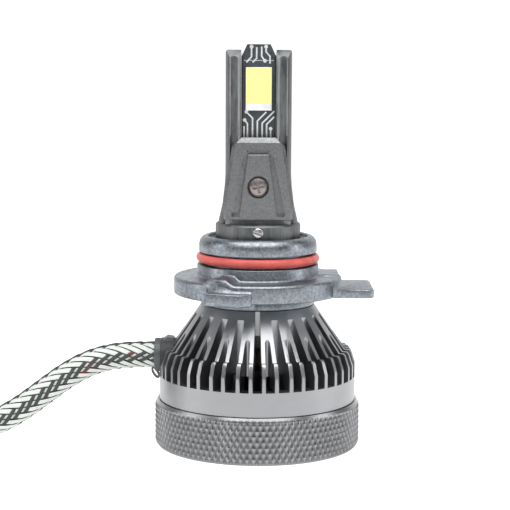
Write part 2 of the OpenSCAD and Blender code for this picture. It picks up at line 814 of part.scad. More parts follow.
module clamp_screws() {
    recess = [1.9, 0.42, 1.2];
    side_h = 0.45;
    slope_h = 0.4;
    head_top = screw_seat + side_h + slope_h;
    color("gainsboro")
        for (turn = [0, 180]) rotate([0, 0, turn])
            translate([0, 0, clamp_screw_z]) rotate([90, 0, 0])
                difference() {
                    union() {
                        translate([0, 0, fixed_gap]) cylinder(r = screw_r, h = screw_seat);
                        translate([0, 0, screw_seat]) cylinder(r = screw_head_r, h = side_h);
                        translate([0, 0, screw_seat + side_h])
                            cylinder(r1 = screw_head_r, r2 = screw_head_r - slope_h, h = slope_h);
                    }
                    for (turn = [0, 90]) rotate([0, 0, turn])
                        translate([0, 0, head_top]) cube(recess, center = true);
                }
}

// ---- Adapter ----
module adapter_turned() {
    low_edge = 0.3;
    top_edge = 0.4;
    crown = [0.25, 0.55];
    mouth_edge = [0.3, 0.1];
    rotate_extrude()
        polygon([[bore_r, adapter_bottom], [boss_r, adapter_bottom], [boss_r, flange_bottom],
            [flange_r - low_edge, flange_bottom], [flange_r, flange_bottom + low_edge],
            [flange_r, flange_top - top_edge], [flange_r - top_edge, flange_top],
            [barrel_r, flange_top], [barrel_r, groove_bottom], [groove_floor, groove_bottom],
            [groove_floor, groove_top], [spigot_r, groove_top], [spigot_r, spigot_top],
            [spigot_r - crown[0], spigot_top + crown[1]], [mouth_r + mouth_edge[0], mouth_z - mouth_edge[1]],
            [mouth_r, mouth_z], [mouth_r, shoulder_z], [bore_r, shoulder_z]]);
}
module lug(turn) {
    lug_t = 2.1;
    lug_z = flange_bottom - 0.35;
    proud = 1.5;
    root_y = -flange_r + 1.2;
    half_w = 3.85;
    face_start = -3.7;
    face_end = 2.4;
    rotate([0, 0, turn])
        translate([0, 0, lug_z])
            linear_extrude(lug_t)
                polygon([[-half_w, root_y], [face_start, -flange_r - proud], [face_end, -flange_r - proud],
                    [half_w, -flange_r + 0.1], [half_w, root_y]]);
}
module side_tab() {
    corner = 1;
    front_y = -6.6;
    width = 11.8;
    root_x = flange_r - 4;
    reach = tab_reach - root_x;
    translate([root_x, front_y, flange_bottom])
        linear_extrude(tab_t)
            union() {
                square([reach - corner, width]);
                translate([0, corner]) square([reach, width - 2 * corner]);
                for (y = [corner, width - corner]) translate([reach - corner, y]) circle(r = corner);
            }
}
module wave_pad(turn) {
    rise = 0.85;
    chord = 5.2;
    arc_r = (chord * chord / 4 + rise * rise) / (2 * rise);
    rotate([0, 0, turn])
        intersection() {
            translate([0, -barrel_r + 1, flange_top + rise - arc_r])
                rotate([90, 0, 0]) cylinder(r = arc_r, h = flange_r - barrel_r - 1);
            tube(flange_r - fixed_gap, bore_r + 1, flange_top - bite, rise + 1);
        }
}
module step_pad() {
    rise = 0.28;
    rim = 0.35;
    front_y = -1.7;
    width = 6.9;
    intersection() {
        tube(flange_r - rim, bore_r + 1, flange_top - bite, rise + bite);
        translate([bore_r, front_y, flange_bottom]) cube([flange_r, width, flange_t + rise + bite]);
    }
}
module adapter_ring() {
    color("silver")
        difference() {
            union() {
                adapter_turned();
                lug(-20);
                lug(160);
                side_tab();
                wave_pad(-28);
                step_pad();
            }
            translate([0, 0, adapter_bottom - bite]) cylinder(r = bore_r, h = flange_t + boss_h);
        }
}
module o_ring() {
    color([0.87, 0.38, 0.35])
        rotate_extrude()
            translate([seal_ring_r, groove_bottom + 0.1 + seal_r]) circle(r = seal_r);
}

// ---- Lead ----
module cord() {
    color("dimgray") swept_tube(cord_route, cord_r, 12);
}
module cord_coil() {
    color("dimgray")
        translate([coil_x, coil_y, 0])
            rotate_extrude()
                translate([coil_mean_r, cord_r])
                    union() {
                        square([coil_pitch, cord_d], center = true);
                        translate([-coil_pitch / 2, 0]) circle(r = cord_r);
                        translate([coil_pitch / 2, 0]) circle(r = cord_r);
                    }
}
module cord_tail() {
    color("dimgray") swept_tube(tail_route, cord_r, 12);
}
module at_plug() {
    translate([tail_end[0], tail_end[1] + 1, 0]) rotate([0, 0, 90]) children();
}
module plug_outline(width, height) {
    corner = height / 2;
    translate([-width / 2 + corner, 0]) circle(r = corner);
    translate([width / 2 - corner, 0]) circle(r = corner);
    translate([-width / 2 + corner, -corner]) square([width - 2 * corner, height]);
}
module plug_seal() {
    color("dimgray")
        at_plug() translate([0, 0, plug_seal_r]) rotate([0, 90, 0]) cylinder(r = plug_seal_r, h = seal_l);
}
module plug_shell() {
    inner_w = plug_w - 2 * plug_wall;
    inner_h = plug_h - 2 * plug_wall;
    color([0.12, 0.12, 0.13])
        at_plug() translate([seal_l, 0, plug_h / 2]) rotate([90, 0, 90])
            difference() {
                linear_extrude(plug_l) plug_outline(plug_w, plug_h);
                translate([0, 0, plug_l - socket_l])
                    linear_extrude(socket_l + bite) plug_outline(inner_w, inner_h);
            }
}
module plug_contacts() {
    blade = [plug_l * 0.4, 0.8, 2.4];
    spacing = 4.4;
    color("silver")
        at_plug() for (side = [-1, 1])
            translate([seal_l + plug_l - socket_l + blade[0] / 2, side * spacing / 2, plug_h / 2])
                cube(blade, center = true);
}

knurled_ring();
heat_sink();
cord_grommet();
cable_tie();
supply_leads();
driver_board();
driver_coil();
driver_capacitors();
driver_chips();
driver_screws();
led_wires();
fan_frame();
fan_bearings();
fan_board();
stator_core();
stator_coils();
fan_screws();
fan_rotor();
rotor_magnet();
fan_shaft();
shaft_clip();
lamp_stem();
locking_pins();
copper_core();
front_board();
rear_board();
front_led();
rear_led();
front_phosphor();
rear_phosphor();
front_clamp();
rear_clamp();
clamp_screws();
adapter_ring();
o_ring();
cord();
cord_coil();
cord_tail();
plug_seal();
plug_shell();
plug_contacts();
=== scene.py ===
"""An LED headlight bulb: its looks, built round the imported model."""

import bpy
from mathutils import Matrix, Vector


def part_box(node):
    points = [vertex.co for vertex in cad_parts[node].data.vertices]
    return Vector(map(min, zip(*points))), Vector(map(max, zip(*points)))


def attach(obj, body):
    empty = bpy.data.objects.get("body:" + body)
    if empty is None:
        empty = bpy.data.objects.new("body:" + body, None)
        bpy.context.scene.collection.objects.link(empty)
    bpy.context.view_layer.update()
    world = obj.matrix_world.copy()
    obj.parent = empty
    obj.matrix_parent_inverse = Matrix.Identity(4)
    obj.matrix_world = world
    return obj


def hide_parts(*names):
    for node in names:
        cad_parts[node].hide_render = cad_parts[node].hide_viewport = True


bl_info = {
    "name": "LED headlight bulb",
    "version": (1, 0, 0),
    "blender": (4, 5, 0),
    "location": "View3D > Sidebar > Bulb",
    "description": "Builds the finish of an LED headlight bulb round its packed frame",
    "category": "Object",
}

from math import cos, degrees, hypot, pi, radians, sin

import bmesh
import bpy
import numpy as np
from bpy.props import FloatProperty, FloatVectorProperty, IntProperty, PointerProperty
from mathutils import Matrix, Vector

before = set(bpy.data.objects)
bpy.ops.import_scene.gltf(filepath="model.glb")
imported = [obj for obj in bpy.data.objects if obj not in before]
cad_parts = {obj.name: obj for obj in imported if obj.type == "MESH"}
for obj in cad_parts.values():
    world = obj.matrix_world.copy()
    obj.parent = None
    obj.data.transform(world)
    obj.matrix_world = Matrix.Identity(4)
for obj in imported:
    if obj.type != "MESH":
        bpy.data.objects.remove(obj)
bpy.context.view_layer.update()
MM = 0.001


def size_of(node, axis):
    """A node's extent along an axis, in millimetres."""
    low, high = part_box(node)
    return (high[axis] - low[axis]) / MM


def top_of(node):
    """Height of a node's top, in millimetres."""
    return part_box(node)[1].z / MM


def foot_of(node):
    """Height of a node's foot, in millimetres."""
    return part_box(node)[0].z / MM


RING_R = size_of("knurled_ring", 1) / 2
RING_H = size_of("knurled_ring", 2)
# Share of a knurl's slope at which its tip is flat
KNURL_FLAT = 0.85


# ---- Settings ----
def length(name, description, default):
    """A setting that is a length, with its default in millimetres."""
    return FloatProperty(name=name, description=description, default=default * MM, unit="LENGTH", precision=5)


def colour(name, description, default):
    """A setting that is a colour."""
    return FloatVectorProperty(
        name=name, description=description, default=default, size=3, subtype="COLOR", min=0.0, max=1.0
    )


class StageSettings(bpy.types.PropertyGroup):
    camera_back: length("Camera distance", "How far in front of the axis the camera stands", 246.5)
    camera_up: length("Camera height", "Height of the camera over the floor", 62.2)
    camera_side: length("Camera offset", "How far the camera stands to the side of the axis", -0.47)
    camera_pitch: FloatProperty(
        name="Pitch", description="How far the camera looks down", default=radians(7.12), subtype="ANGLE"
    )
    camera_roll: FloatProperty(
        name="Roll", description="How far the camera leans to one side", default=radians(0.3), subtype="ANGLE"
    )
    lens: FloatProperty(name="Lens", description="Focal length in millimetres", default=105.81)
    key_power: FloatProperty(
        name="Top light", description="Power of the large light above", default=3.2, unit="POWER"
    )
    side_power: FloatProperty(
        name="Side lights", description="Power of the two side lights", default=0.4, unit="POWER"
    )
    floor: colour("Floor", "Colour of the floor and the backdrop", (0.55, 0.55, 0.55))


class LeadSettings(bpy.types.PropertyGroup):
    diameter: length("Diameter", "Outer diameter of the braided lead", 4.4)
    strands: IntProperty(
        name="Strands", description="Ribbons of the braid that run each way", default=12, min=4
    )
    pitch: length("Pitch", "Length of one turn of a ribbon", 24.0)
    pale_width: length("Pale ribbon", "Width of a pale ribbon", 0.72)
    dark_width: length("Dark ribbon", "Width of a dark ribbon", 0.58)
    pale: colour("Pale filament", "Colour of the pale ribbons", (0.72, 0.75, 0.71))
    dark: colour("Dark filament", "Colour of the dark ribbons", (0.085, 0.1, 0.092))


class KnurlSettings(bpy.types.PropertyGroup):
    around: IntProperty(name="Diamonds", description="Diamonds round the ring", default=102, min=20)
    tall: length("Diamond height", "Height of one diamond", 1.82)
    depth: length("Depth", "Depth of the grooves", 0.24)


class EdgeSettings(bpy.types.PropertyGroup):
    fine: length("Fine edge", "Rounding of a machined edge", 0.06)
    cast: length("Cast edge", "Rounding of a cast edge", 0.22)


class MetalSettings(bpy.types.PropertyGroup):
    ring: colour("Ring", "Colour of the knurled ring", (0.21, 0.212, 0.217))
    turned: colour("Turned", "Colour of the turned heat sink", (0.33, 0.333, 0.342))
    # The slot colour is near-black as painted shade in the slots.
    slot: colour("Slot", "Colour of the heat sink's slots", (0.058, 0.067, 0.074))
    floor: colour("Slot floor", "Colour of the slots' pale floors", (0.36, 0.365, 0.37))
    slope: colour("Bar slope", "Colour of the bars' sloping tops", (0.085, 0.087, 0.09))
    cast: colour("Cast", "Colour of the cast and blasted adapter", (0.23, 0.25, 0.275))
    stem: colour("Stem", "Colour of the stem", (0.15, 0.156, 0.157))
    clamp: colour("Clamp", "Colour of the clamp blocks", (0.21, 0.212, 0.217))
    board: colour("Board", "Colour of the light boards", (0.04, 0.05, 0.055))
    seal: colour("Seal", "Colour of the O-ring", (0.56, 0.085, 0.07))
    phosphor: colour("Phosphor", "Colour of the light surfaces", (0.97, 0.9, 0.3))


SETTINGS = {
    "bulb_stage": StageSettings,
    "bulb_lead": LeadSettings,
    "bulb_knurl": KnurlSettings,
    "bulb_edges": EdgeSettings,
    "bulb_metals": MetalSettings,
}


# ---- Surfaces ----
class Finish:
    """One procedural material: a principled surface that noise, bands and patches are laid over."""

    def __init__(self, name, base, metallic=0.0, roughness=0.5, **fixed):
        self.material = bpy.data.materials.new(name)
        self.material.use_nodes = True
        tree = self.material.node_tree
        self.nodes, self.links = tree.nodes, tree.links
        self.surface = self.nodes["Principled BSDF"]
        self.base = base
        self.set("Base Color", (*base, 1.0))
        self.set("Metallic", metallic)
        self.set("Roughness", roughness)
        for socket, value in fixed.items():
            self.set(socket.replace("_", " "), value)
        self.height = None

    def set(self, socket, value):
        self.surface.inputs[socket].default_value = value

    def add(self, kind, **inputs):
        node = self.nodes.new(kind)
        for key, value in inputs.items():
            socket = node.inputs[key] if isinstance(key, int) else node.inputs[key.replace("_", " ")]
            if isinstance(value, bpy.types.NodeSocket):
                self.links.new(value, socket)
            else:
                socket.default_value = value
        return node

    def place(self, stretch=(1, 1, 1)):
        """Object coordinates, stretched along each axis."""
        where = self.nodes.new("ShaderNodeTexCoord").outputs["Object"]
        mapping = self.add("ShaderNodeMapping", Vector=where, Scale=stretch)
        return mapping.outputs["Vector"]

    def grain(self, size, detail=4.0, stretch=(1, 1, 1)):
        """Noise whose blobs are about this many millimetres across."""
        where = self.place(stretch)
        scale = 0.5 / (size * MM)
        node = self.add("ShaderNodeTexNoise", Vector=where, Scale=scale, Detail=detail, Roughness=0.6)
        return node.outputs["Fac"]

    def spread(self, value, low, high, to_low=0.0, to_high=1.0):
        """Maps low to high onto another range."""
        node = self.nodes.new("ShaderNodeMapRange")
        self.links.new(value, node.inputs["Value"])
        for socket, number in zip(("From Min", "From Max", "To Min", "To Max"), (low, high, to_low, to_high)):
            node.inputs[socket].default_value = number
        return node.outputs["Result"]

    def maths(self, operation, a, b=0.0, c=0.0):
        node = self.nodes.new("ShaderNodeMath")
        node.operation = operation
        for socket, value in zip(node.inputs, (a, b, c)):
            if isinstance(value, bpy.types.NodeSocket):
                self.links.new(value, socket)
            else:
                socket.default_value = value
        return node.outputs["Value"]

    def tint(self, value, dark, light):
        """Colours the surface between two shades."""
        ramp = self.nodes.new("ShaderNodeValToRGB")
        ramp.color_ramp.elements[0].color = (*dark, 1.0)
        ramp.color_ramp.elements[1].color = (*light, 1.0)
        self.links.new(value, ramp.inputs["Fac"])
        self.links.new(ramp.outputs["Color"], self.surface.inputs["Base Color"])

    def shades(self, value, low, high, amount):
        """Lightens and darkens the base colour by this share where the value goes from low to high."""
        dark = [c * (1 - amount) for c in self.base]
        light = [min(1.0, c * (1 + amount)) for c in self.base]
        self.tint(self.spread(value, low, high), dark, light)

    def rough(self, value, low, high, smooth, coarse):
        """Varies the roughness where the value goes from low to high."""
        self.links.new(self.spread(value, low, high, smooth, coarse), self.surface.inputs["Roughness"])

    def relief(self, value, depth, strength=1.0):
        """Adds bumps of this depth in millimetres, on top of any that are there."""
        node = self.add("ShaderNodeBump", Height=value, Strength=strength, Distance=depth * MM)
        if self.height is not None:
            self.links.new(self.height, node.inputs["Normal"])
        self.height = node.outputs["Normal"]
        self.links.new(self.height, self.surface.inputs["Normal"])


def metals():
    """The colour settings of the metals, boards, seal and light surfaces."""
    return bpy.context.scene.bulb_metals


def turned_metal(name, base, lines=0.03, roughness=0.34):
    """Satin metal with the fine rings that a lathe leaves."""
    finish = Finish(name, base, metallic=1.0, roughness=roughness)
    rings = finish.grain(lines, 2.0, stretch=(0.01, 0.01, 1))
    patches = finish.grain(3.0, 3.0)
    finish.shades(patches, 0.35, 0.65, 0.05)
    finish.rough(patches, 0.3, 0.7, roughness - 0.05, roughness + 0.07)
    finish.relief(rings, 0.012, 0.35)
    finish.relief(finish.grain(0.15, 2.0), 0.01, 0.25)
    return finish.material


def blasted_metal(name, base, size=0.2, amount=0.35, depth=0.05, roughness=0.38):
    """Cast aluminium with a sparkling blasted skin."""
    finish = Finish(name, base, metallic=1.0, roughness=roughness)
    sand = finish.grain(size, 3.0)
    finish.shades(sand, 0.3, 0.7, amount)
    finish.rough(finish.grain(size * 2.3, 3.0), 0.35, 0.65, roughness - 0.1, roughness + 0.1)
    finish.relief(sand, depth, 0.4)
    finish.relief(finish.grain(1.6, 2.0), depth, 0.06)
    return finish.material


def streaked_metal(name, base):
    """Extruded aluminium with long streaks and stains up the stem."""
    finish = Finish(name, base, metallic=1.0, roughness=0.45)
    streaks = finish.grain(0.22, 4.0, stretch=(1, 1, 0.12))
    stains = finish.grain(0.9, 5.0, stretch=(1, 1, 0.5))
    both = finish.maths("MULTIPLY_ADD", stains, 0.6, finish.maths("MULTIPLY", streaks, 0.4))
    finish.shades(both, 0.4, 0.6, 0.3)
    finish.rough(stains, 0.35, 0.65, 0.36, 0.6)
    finish.relief(streaks, 0.04, 0.45)
    finish.relief(finish.grain(0.12, 2.0), 0.02, 0.4)
    return finish.material


def bright_metal(name, base, roughness=0.25, size=0.25):
    """Plated or polished metal with fine scratches and dull spots."""
    finish = Finish(name, base, metallic=1.0, roughness=roughness)
    spots = finish.grain(size, 4.0)
    finish.shades(spots, 0.35, 0.65, 0.12)
    finish.rough(spots, 0.3, 0.7, roughness - 0.08, roughness + 0.15)
    finish.relief(finish.grain(0.06, 3.0, stretch=(1, 0.1, 1)), 0.01, 0.4)
    return finish.material


def moulded(name, base, roughness=0.45, size=0.12, depth=0.02, **fixed):
    """Moulded plastic or rubber with a fine spark-eroded grain."""
    finish = Finish(name, base, roughness=roughness, **fixed)
    spark = finish.grain(size, 3.0)
    finish.shades(finish.grain(1.2, 3.0), 0.35, 0.65, 0.14)
    finish.rough(spark, 0.3, 0.7, roughness - 0.08, roughness + 0.12)
    finish.relief(spark, depth, 0.4)
    return finish.material


def solder_mask(name, base):
    """A glossy board skin with faint copper areas under it."""
    finish = Finish(name, base, roughness=0.3, Coat_Weight=0.4, Coat_Roughness=0.15)
    areas = finish.add("ShaderNodeTexVoronoi", Vector=finish.place(), Scale=420.0)
    finish.shades(areas.outputs["Distance"], 0.1, 0.6, 0.16)
    finish.rough(finish.grain(0.3), 0.3, 0.7, 0.24, 0.4)
    finish.relief(finish.grain(0.5, 3.0), 0.012, 0.4)
    return finish.material


# ---- Shapes ----
def baked(obj):
    """A new mesh of an object with its modifiers applied."""
    bpy.context.view_layer.update()
    return bpy.data.meshes.new_from_object(obj.evaluated_get(bpy.context.evaluated_depsgraph_get()))


def linked(name, bm):
    """A new object that holds this bmesh."""
    mesh = bpy.data.meshes.new(name)
    bm.to_mesh(mesh)
    bm.free()
    obj = bpy.data.objects.new(name, mesh)
    bpy.context.collection.objects.link(obj)
    return obj


def shaded(obj, angle=35):
    """Smooth shading that keeps the edges sharper than this angle, in degrees."""
    obj.data.polygons.foreach_set("use_smooth", [True] * len(obj.data.polygons))
    obj.data.set_sharp_from_angle(angle=radians(angle))
    obj.data.update()
    return obj


def settle(obj, slot, *nodes, body="lamp"):
    """Fixes a finished piece to its body and hides the nodes it stands for."""
    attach(obj, body)
    if nodes:
        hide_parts(*nodes)
    return obj


def finish_node(node, material):
    """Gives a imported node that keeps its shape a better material."""
    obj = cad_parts[node]
    if not obj.material_slots:
        obj.data.materials.append(None)
    for slot in obj.material_slots:
        slot.link = "OBJECT"
        slot.material = material


def rounded_edges(bm, width, angle, segments=2):
    """Bevels every edge that is sharper than the angle."""
    sharp = [e for e in bm.edges if len(e.link_faces) == 2 and e.calc_face_angle() > radians(angle)]
    bmesh.ops.bevel(
        bm, geom=sharp, offset=width, offset_type="OFFSET", segments=segments, profile=0.5,
        affect="EDGES", clamp_overlap=True,
    )


def copied(node):
    """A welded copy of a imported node's mesh, with its flat faces made whole."""
    bm = bmesh.new()
    bm.from_mesh(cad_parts[node].data)
    bmesh.ops.remove_doubles(bm, verts=bm.verts, dist=0.0004 * MM)
    bmesh.ops.dissolve_limit(bm, angle_limit=radians(0.4), verts=bm.verts, edges=bm.edges)
    return bm


def levelled(obj, angle=35):
    """Smooth shading that stays level over the large faces beside rounded edges."""
    shaded(obj, angle)
    level = obj.modifiers.new("levelled", "WEIGHTED_NORMAL")
    level.keep_sharp = True
    mesh = baked(obj)
    obj.modifiers.clear()
    obj.data = mesh
    return obj


def softened(name, node, width, material, angle=28, segments=2):
    """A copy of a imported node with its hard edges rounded."""
    bm = copied(node)
    rounded_edges(bm, width, angle, segments)
    return given(levelled(linked(name, bm)), material)


def revolved(name, profile_at, steps, material):
    """A closed ring whose outline may change round the axis.

    profile_at gives the outline's (radius, height) points at an angle, in millimetres.
    """
    outlines = [profile_at(2 * pi * k / steps) for k in range(steps)]
    count = len(outlines[0])
    bm = bmesh.new()
    verts = []
    for k, outline in enumerate(outlines):
        turn = 2 * pi * k / steps
        verts.append([bm.verts.new((r * MM * cos(turn), r * MM * sin(turn), z * MM)) for r, z in outline])
    for k in range(steps):
        here, there = verts[k], verts[(k + 1) % steps]
        for i in range(count):
            j = (i + 1) % count
            bm.faces.new((here[i], there[i], there[j], here[j]))
    bmesh.ops.remove_doubles(bm, verts=bm.verts, dist=0.0002 * MM)
    bmesh.ops.recalc_face_normals(bm, faces=bm.faces)
    return given(shaded(linked(name, bm)), material)


def corner(centre, radius, start, end, steps=5):
    """Points of a rounded corner, from one angle to another in degrees."""
    angles = [radians(start + (end - start) * k / steps) for k in range(steps + 1)]
    return [(centre[0] + radius * cos(a), centre[1] + radius * sin(a)) for a in angles]


def prism(bm, outline, low, high, place=Matrix.Identity(4)):
    """Adds a straight solid over an outline, both in millimetres, and gives its new faces."""
    rings = [
        [bm.verts.new(place @ Vector((x * MM, y * MM, z * MM))) for x, y in outline]
        for z in (low, high)
    ]
    count = len(outline)
    faces = [bm.faces.new(rings[0][::-1]), bm.faces.new(rings[1])]
    faces += [
        bm.faces.new((rings[0][i], rings[0][(i + 1) % count], rings[1][(i + 1) % count], rings[1][i]))
        for i in range(count)
    ]
    bmesh.ops.recalc_face_normals(bm, faces=faces)
    return faces


def circle(x, y, radius, steps=24):
    """Points of a circle."""
    turns = [2 * pi * k / steps for k in range(steps)]
    return [(x + radius * cos(a), y + radius * sin(a)) for a in turns]


def rectangle(left, right, low, high):
    """The four corners of a rectangle."""
    return [(left, low), (right, low), (right, high), (left, high)]


def joined(name, parts):
    """One object made of several, with all their materials."""
    bm = bmesh.new()
    materials = []
    for part in parts:
        before = len(bm.faces)
        bm.from_mesh(part.data)
        bm.faces.ensure_lookup_table()
        own = list(part.data.materials)
        for face in bm.faces[before:]:
            material = own[face.material_index]
            if material in materials:
                face.material_index = materials.index(material)
            else:
                face.material_index = len(materials) + face.material_index
        materials += [m for m in own if m not in materials]
        bpy.data.objects.remove(part)
    obj = linked(name, bm)
    for material in materials:
        obj.data.materials.append(material)
    return obj


def combined(obj, operation, tools):
    """Cuts the tools out of a solid, or joins them to it."""
    for tool in tools:
        boolean = obj.modifiers.new("combined", "BOOLEAN")
        boolean.object, boolean.operation, boolean.solver = tool, operation, "EXACT"
    solid = baked(obj)
    obj.modifiers.clear()
    obj.data = solid
    for tool in tools:
        bpy.data.objects.remove(tool)
    return obj


def solid_of(name, outline, low, high, place=Matrix.Identity(4)):
    """A prism as an object of its own."""
    bm = bmesh.new()
    prism(bm, outline, low, high, place)
    return linked(name, bm)


def given(obj, *materials):
    """Gives an object these materials in place of its own."""
    obj.data.materials.clear()
    for material in materials:
        obj.data.materials.append(material)
    return obj


def eased(obj, width, angle=28, segments=2):
    """Rounds the hard edges of a finished solid."""
    bm = bmesh.new()
    bm.from_mesh(obj.data)
    bmesh.ops.remove_doubles(bm, verts=bm.verts, dist=0.002 * MM)
    bmesh.ops.dissolve_limit(bm, angle_limit=radians(0.5), verts=bm.verts, edges=bm.edges)
    rounded_edges(bm, width, angle, segments)
    bm.to_mesh(obj.data)
    bm.free()
    return levelled(obj)


# ---- Node trees that repeat a shape ----
class Tree:
    """One geometry node group, built socket by socket."""

    def __init__(self, name, **inputs):
        self.group = bpy.data.node_groups.new(name, "GeometryNodeTree")
        sockets = self.group.interface.new_socket
        sockets(name="Geometry", in_out="INPUT", socket_type="NodeSocketGeometry")
        for label, kind in inputs.items():
            sockets(name=label, in_out="INPUT", socket_type=f"NodeSocket{kind}")
        sockets(name="Geometry", in_out="OUTPUT", socket_type="NodeSocketGeometry")
        self.given = self.group.nodes.new("NodeGroupInput").outputs
        self.result = self.group.nodes.new("NodeGroupOutput")

    def add(self, kind, inputs=(), **settings):
        node = self.group.nodes.new(kind)
        for key, value in settings.items():
            setattr(node, key, value)
        for key, value in dict(inputs).items():
            if isinstance(value, bpy.types.NodeSocket):
                self.group.links.new(value, node.inputs[key])
            else:
                node.inputs[key].default_value = value
        return node

    def maths(self, operation, *values, clamp=False):
        node = self.add("ShaderNodeMath", enumerate(values), operation=operation, use_clamp=clamp)
        return node.outputs[0]

    def vector(self, operation, *values):
        node = self.add("ShaderNodeVectorMath", enumerate(values), operation=operation)
        return node.outputs[0]

    def scaled(self, vector, factor):
        return self.add("ShaderNodeVectorMath", {0: vector, "Scale": factor}, operation="SCALE").outputs[0]

    def close(self, geometry):
        """Ends the tree: real geometry with the given material."""
        real = self.add("GeometryNodeRealizeInstances", {"Geometry": geometry})
        named = self.add(
            "GeometryNodeSetMaterial", {"Geometry": real.outputs[0], "Material": self.given["Material"]}
        )
        self.group.links.new(named.outputs[0], self.result.inputs[0])

    def grow(self, obj, name, **values):
        """Runs the tree on an object and gives the result as a new plain mesh object."""
        modifier = obj.modifiers.new(self.group.name, "NODES")
        modifier.node_group = self.group
        for item in self.group.interface.items_tree:
            if item.in_out == "INPUT" and item.name in values:
                modifier[item.identifier] = values[item.name]
        mesh = baked(obj)
        bpy.data.objects.remove(obj)
        grown = bpy.data.objects.new(name, mesh)
        bpy.context.collection.objects.link(grown)
        return grown


def copies_tree():
    """Copies of one piece that stand round the axis, each turned by an equal step."""
    t = Tree("copies round the axis", Count="Int", Material="Material")
    g = t.given
    spots = t.add("GeometryNodeMeshLine", {"Count": g["Count"], "Offset": (0, 0, 0)})
    number = t.add("GeometryNodeInputIndex").outputs[0]
    turn = t.maths("MULTIPLY", number, t.maths("DIVIDE", 2 * pi, g["Count"]))
    upright = t.add("ShaderNodeCombineXYZ", {"Z": turn})
    rotation = t.add("FunctionNodeEulerToRotation", {0: upright.outputs[0]})
    copies = t.add(
        "GeometryNodeInstanceOnPoints",
        {"Points": spots.outputs[0], "Instance": g["Geometry"], "Rotation": rotation.outputs[0]},
    )
    t.close(copies.outputs[0])
    return t


def copied_round(name, obj, count, material):
    """Repeats a piece round the axis as one mesh."""
    return copies_tree().grow(obj, name, Count=count, Material=material)


def knurl_tree():
    """Presses a diamond knurl into a turned blank."""
    t = Tree("diamond knurl", Radius="Float", Around="Int", Tall="Float", Depth="Float", Material="Material")
    g = t.given
    spot = t.add("ShaderNodeSeparateXYZ", {0: t.add("GeometryNodeInputPosition").outputs[0]})
    x, y, z = spot.outputs
    radius = t.maths("SQRT", t.maths("ADD", t.maths("MULTIPLY", x, x), t.maths("MULTIPLY", y, y)))
    u = t.maths("MULTIPLY", t.maths("DIVIDE", t.maths("ARCTAN2", y, x), 2 * pi), g["Around"])
    v = t.maths("DIVIDE", z, g["Tall"])
    ridges = [t.maths("PINGPONG", t.maths(way, u, v), 0.5) for way in ("ADD", "SUBTRACT")]
    height = t.maths("DIVIDE", t.maths("MINIMUM", *ridges), KNURL_FLAT / 2, clamp=True)
    sunk = t.maths("MULTIPLY", g["Depth"], t.maths("SUBTRACT", 1.0, height))
    pressed = t.maths("SUBTRACT", g["Radius"], sunk)
    new_r = t.maths("MINIMUM", radius, pressed)
    left = t.maths("SUBTRACT", 1.0, t.maths("DIVIDE", t.maths("SUBTRACT", radius, new_r), g["Depth"]))
    kept = t.add(
        "GeometryNodeStoreNamedAttribute", {"Geometry": g["Geometry"], "Name": "knurl", "Value": left},
        data_type="FLOAT", domain="POINT",
    )
    share = t.maths("DIVIDE", new_r, radius)
    place = t.add(
        "ShaderNodeCombineXYZ", {0: t.maths("MULTIPLY", x, share), 1: t.maths("MULTIPLY", y, share), 2: z}
    )
    moved = t.add("GeometryNodeSetPosition", {"Geometry": kept.outputs[0], "Position": place.outputs[0]})
    t.close(moved.outputs[0])
    return t


# ---- Stage ----
class BULB_OT_stage(bpy.types.Operator):
    """Makes the camera, the soft lights and the pale sweep behind the bulb"""

    bl_idname = "bulb.stage"
    bl_label = "Stage"

    def execute(self, context):
        settings = context.scene.bulb_stage
        lens = bpy.data.cameras.new("camera")
        lens.lens, lens.sensor_width = settings.lens, 36
        lens.clip_start, lens.clip_end = 0.01, 20
        camera = bpy.data.objects.new("camera", lens)
        camera.location = (settings.camera_side, -settings.camera_back, settings.camera_up)
        pitch = Matrix.Rotation(pi / 2 - settings.camera_pitch, 4, "X")
        roll = Matrix.Rotation(settings.camera_roll, 4, "Z")
        camera.rotation_euler = (pitch @ roll).to_euler()
        context.collection.objects.link(camera)
        context.scene.camera = camera
        context.scene.view_settings.view_transform = "Standard"

        world = bpy.data.worlds.new("studio")
        world.use_nodes = True
        sky = world.node_tree.nodes["Background"].inputs
        sky["Color"].default_value = (0.93, 0.95, 1.0, 1)
        sky["Strength"].default_value = 0.22
        context.scene.world = world
        self.lamp("top light", (0.0, -0.17, 0.44), 0.6, 0.46, settings.key_power)
        self.lamp("left light", (-0.42, -0.06, 0.14), 0.16, 0.3, settings.side_power)
        self.lamp("right light", (0.42, -0.06, 0.14), 0.16, 0.3, settings.side_power)

        sweep = Finish("pale sweep", tuple(settings.floor), roughness=0.9)
        sweep.set("Emission Color", (1, 1, 1, 1))
        sweep.set("Emission Strength", 0.78)
        sweep.shades(sweep.grain(40.0), 0.3, 0.7, 0.004)
        half, front, back, bend, tall = 1.6, -1.6, 0.9, 0.4, 1.8
        line = [(front, 0.0)] + corner((back, bend), bend, 270, 360, 16) + [(back + bend, tall)]
        bm = bmesh.new()
        rows = [[bm.verts.new((x, y, z)) for y, z in line] for x in (-half, half)]
        for i in range(len(line) - 1):
            bm.faces.new((rows[0][i], rows[1][i], rows[1][i + 1], rows[0][i + 1]))
        floor = shaded(linked("floor_sweep", bm), 60)
        floor.data.materials.append(sweep.material)
        return {"FINISHED"}

    def lamp(self, name, place, wide, tall, power):
        light = bpy.data.lights.new(name, "AREA")
        light.shape, light.size, light.size_y, light.energy = "RECTANGLE", wide, tall, power
        obj = bpy.data.objects.new(name, light)
        obj.location = place
        obj.rotation_euler = (Vector((0, 0, 0.035)) - Vector(place)).to_track_quat("-Z", "Y").to_euler()
        bpy.context.collection.objects.link(obj)


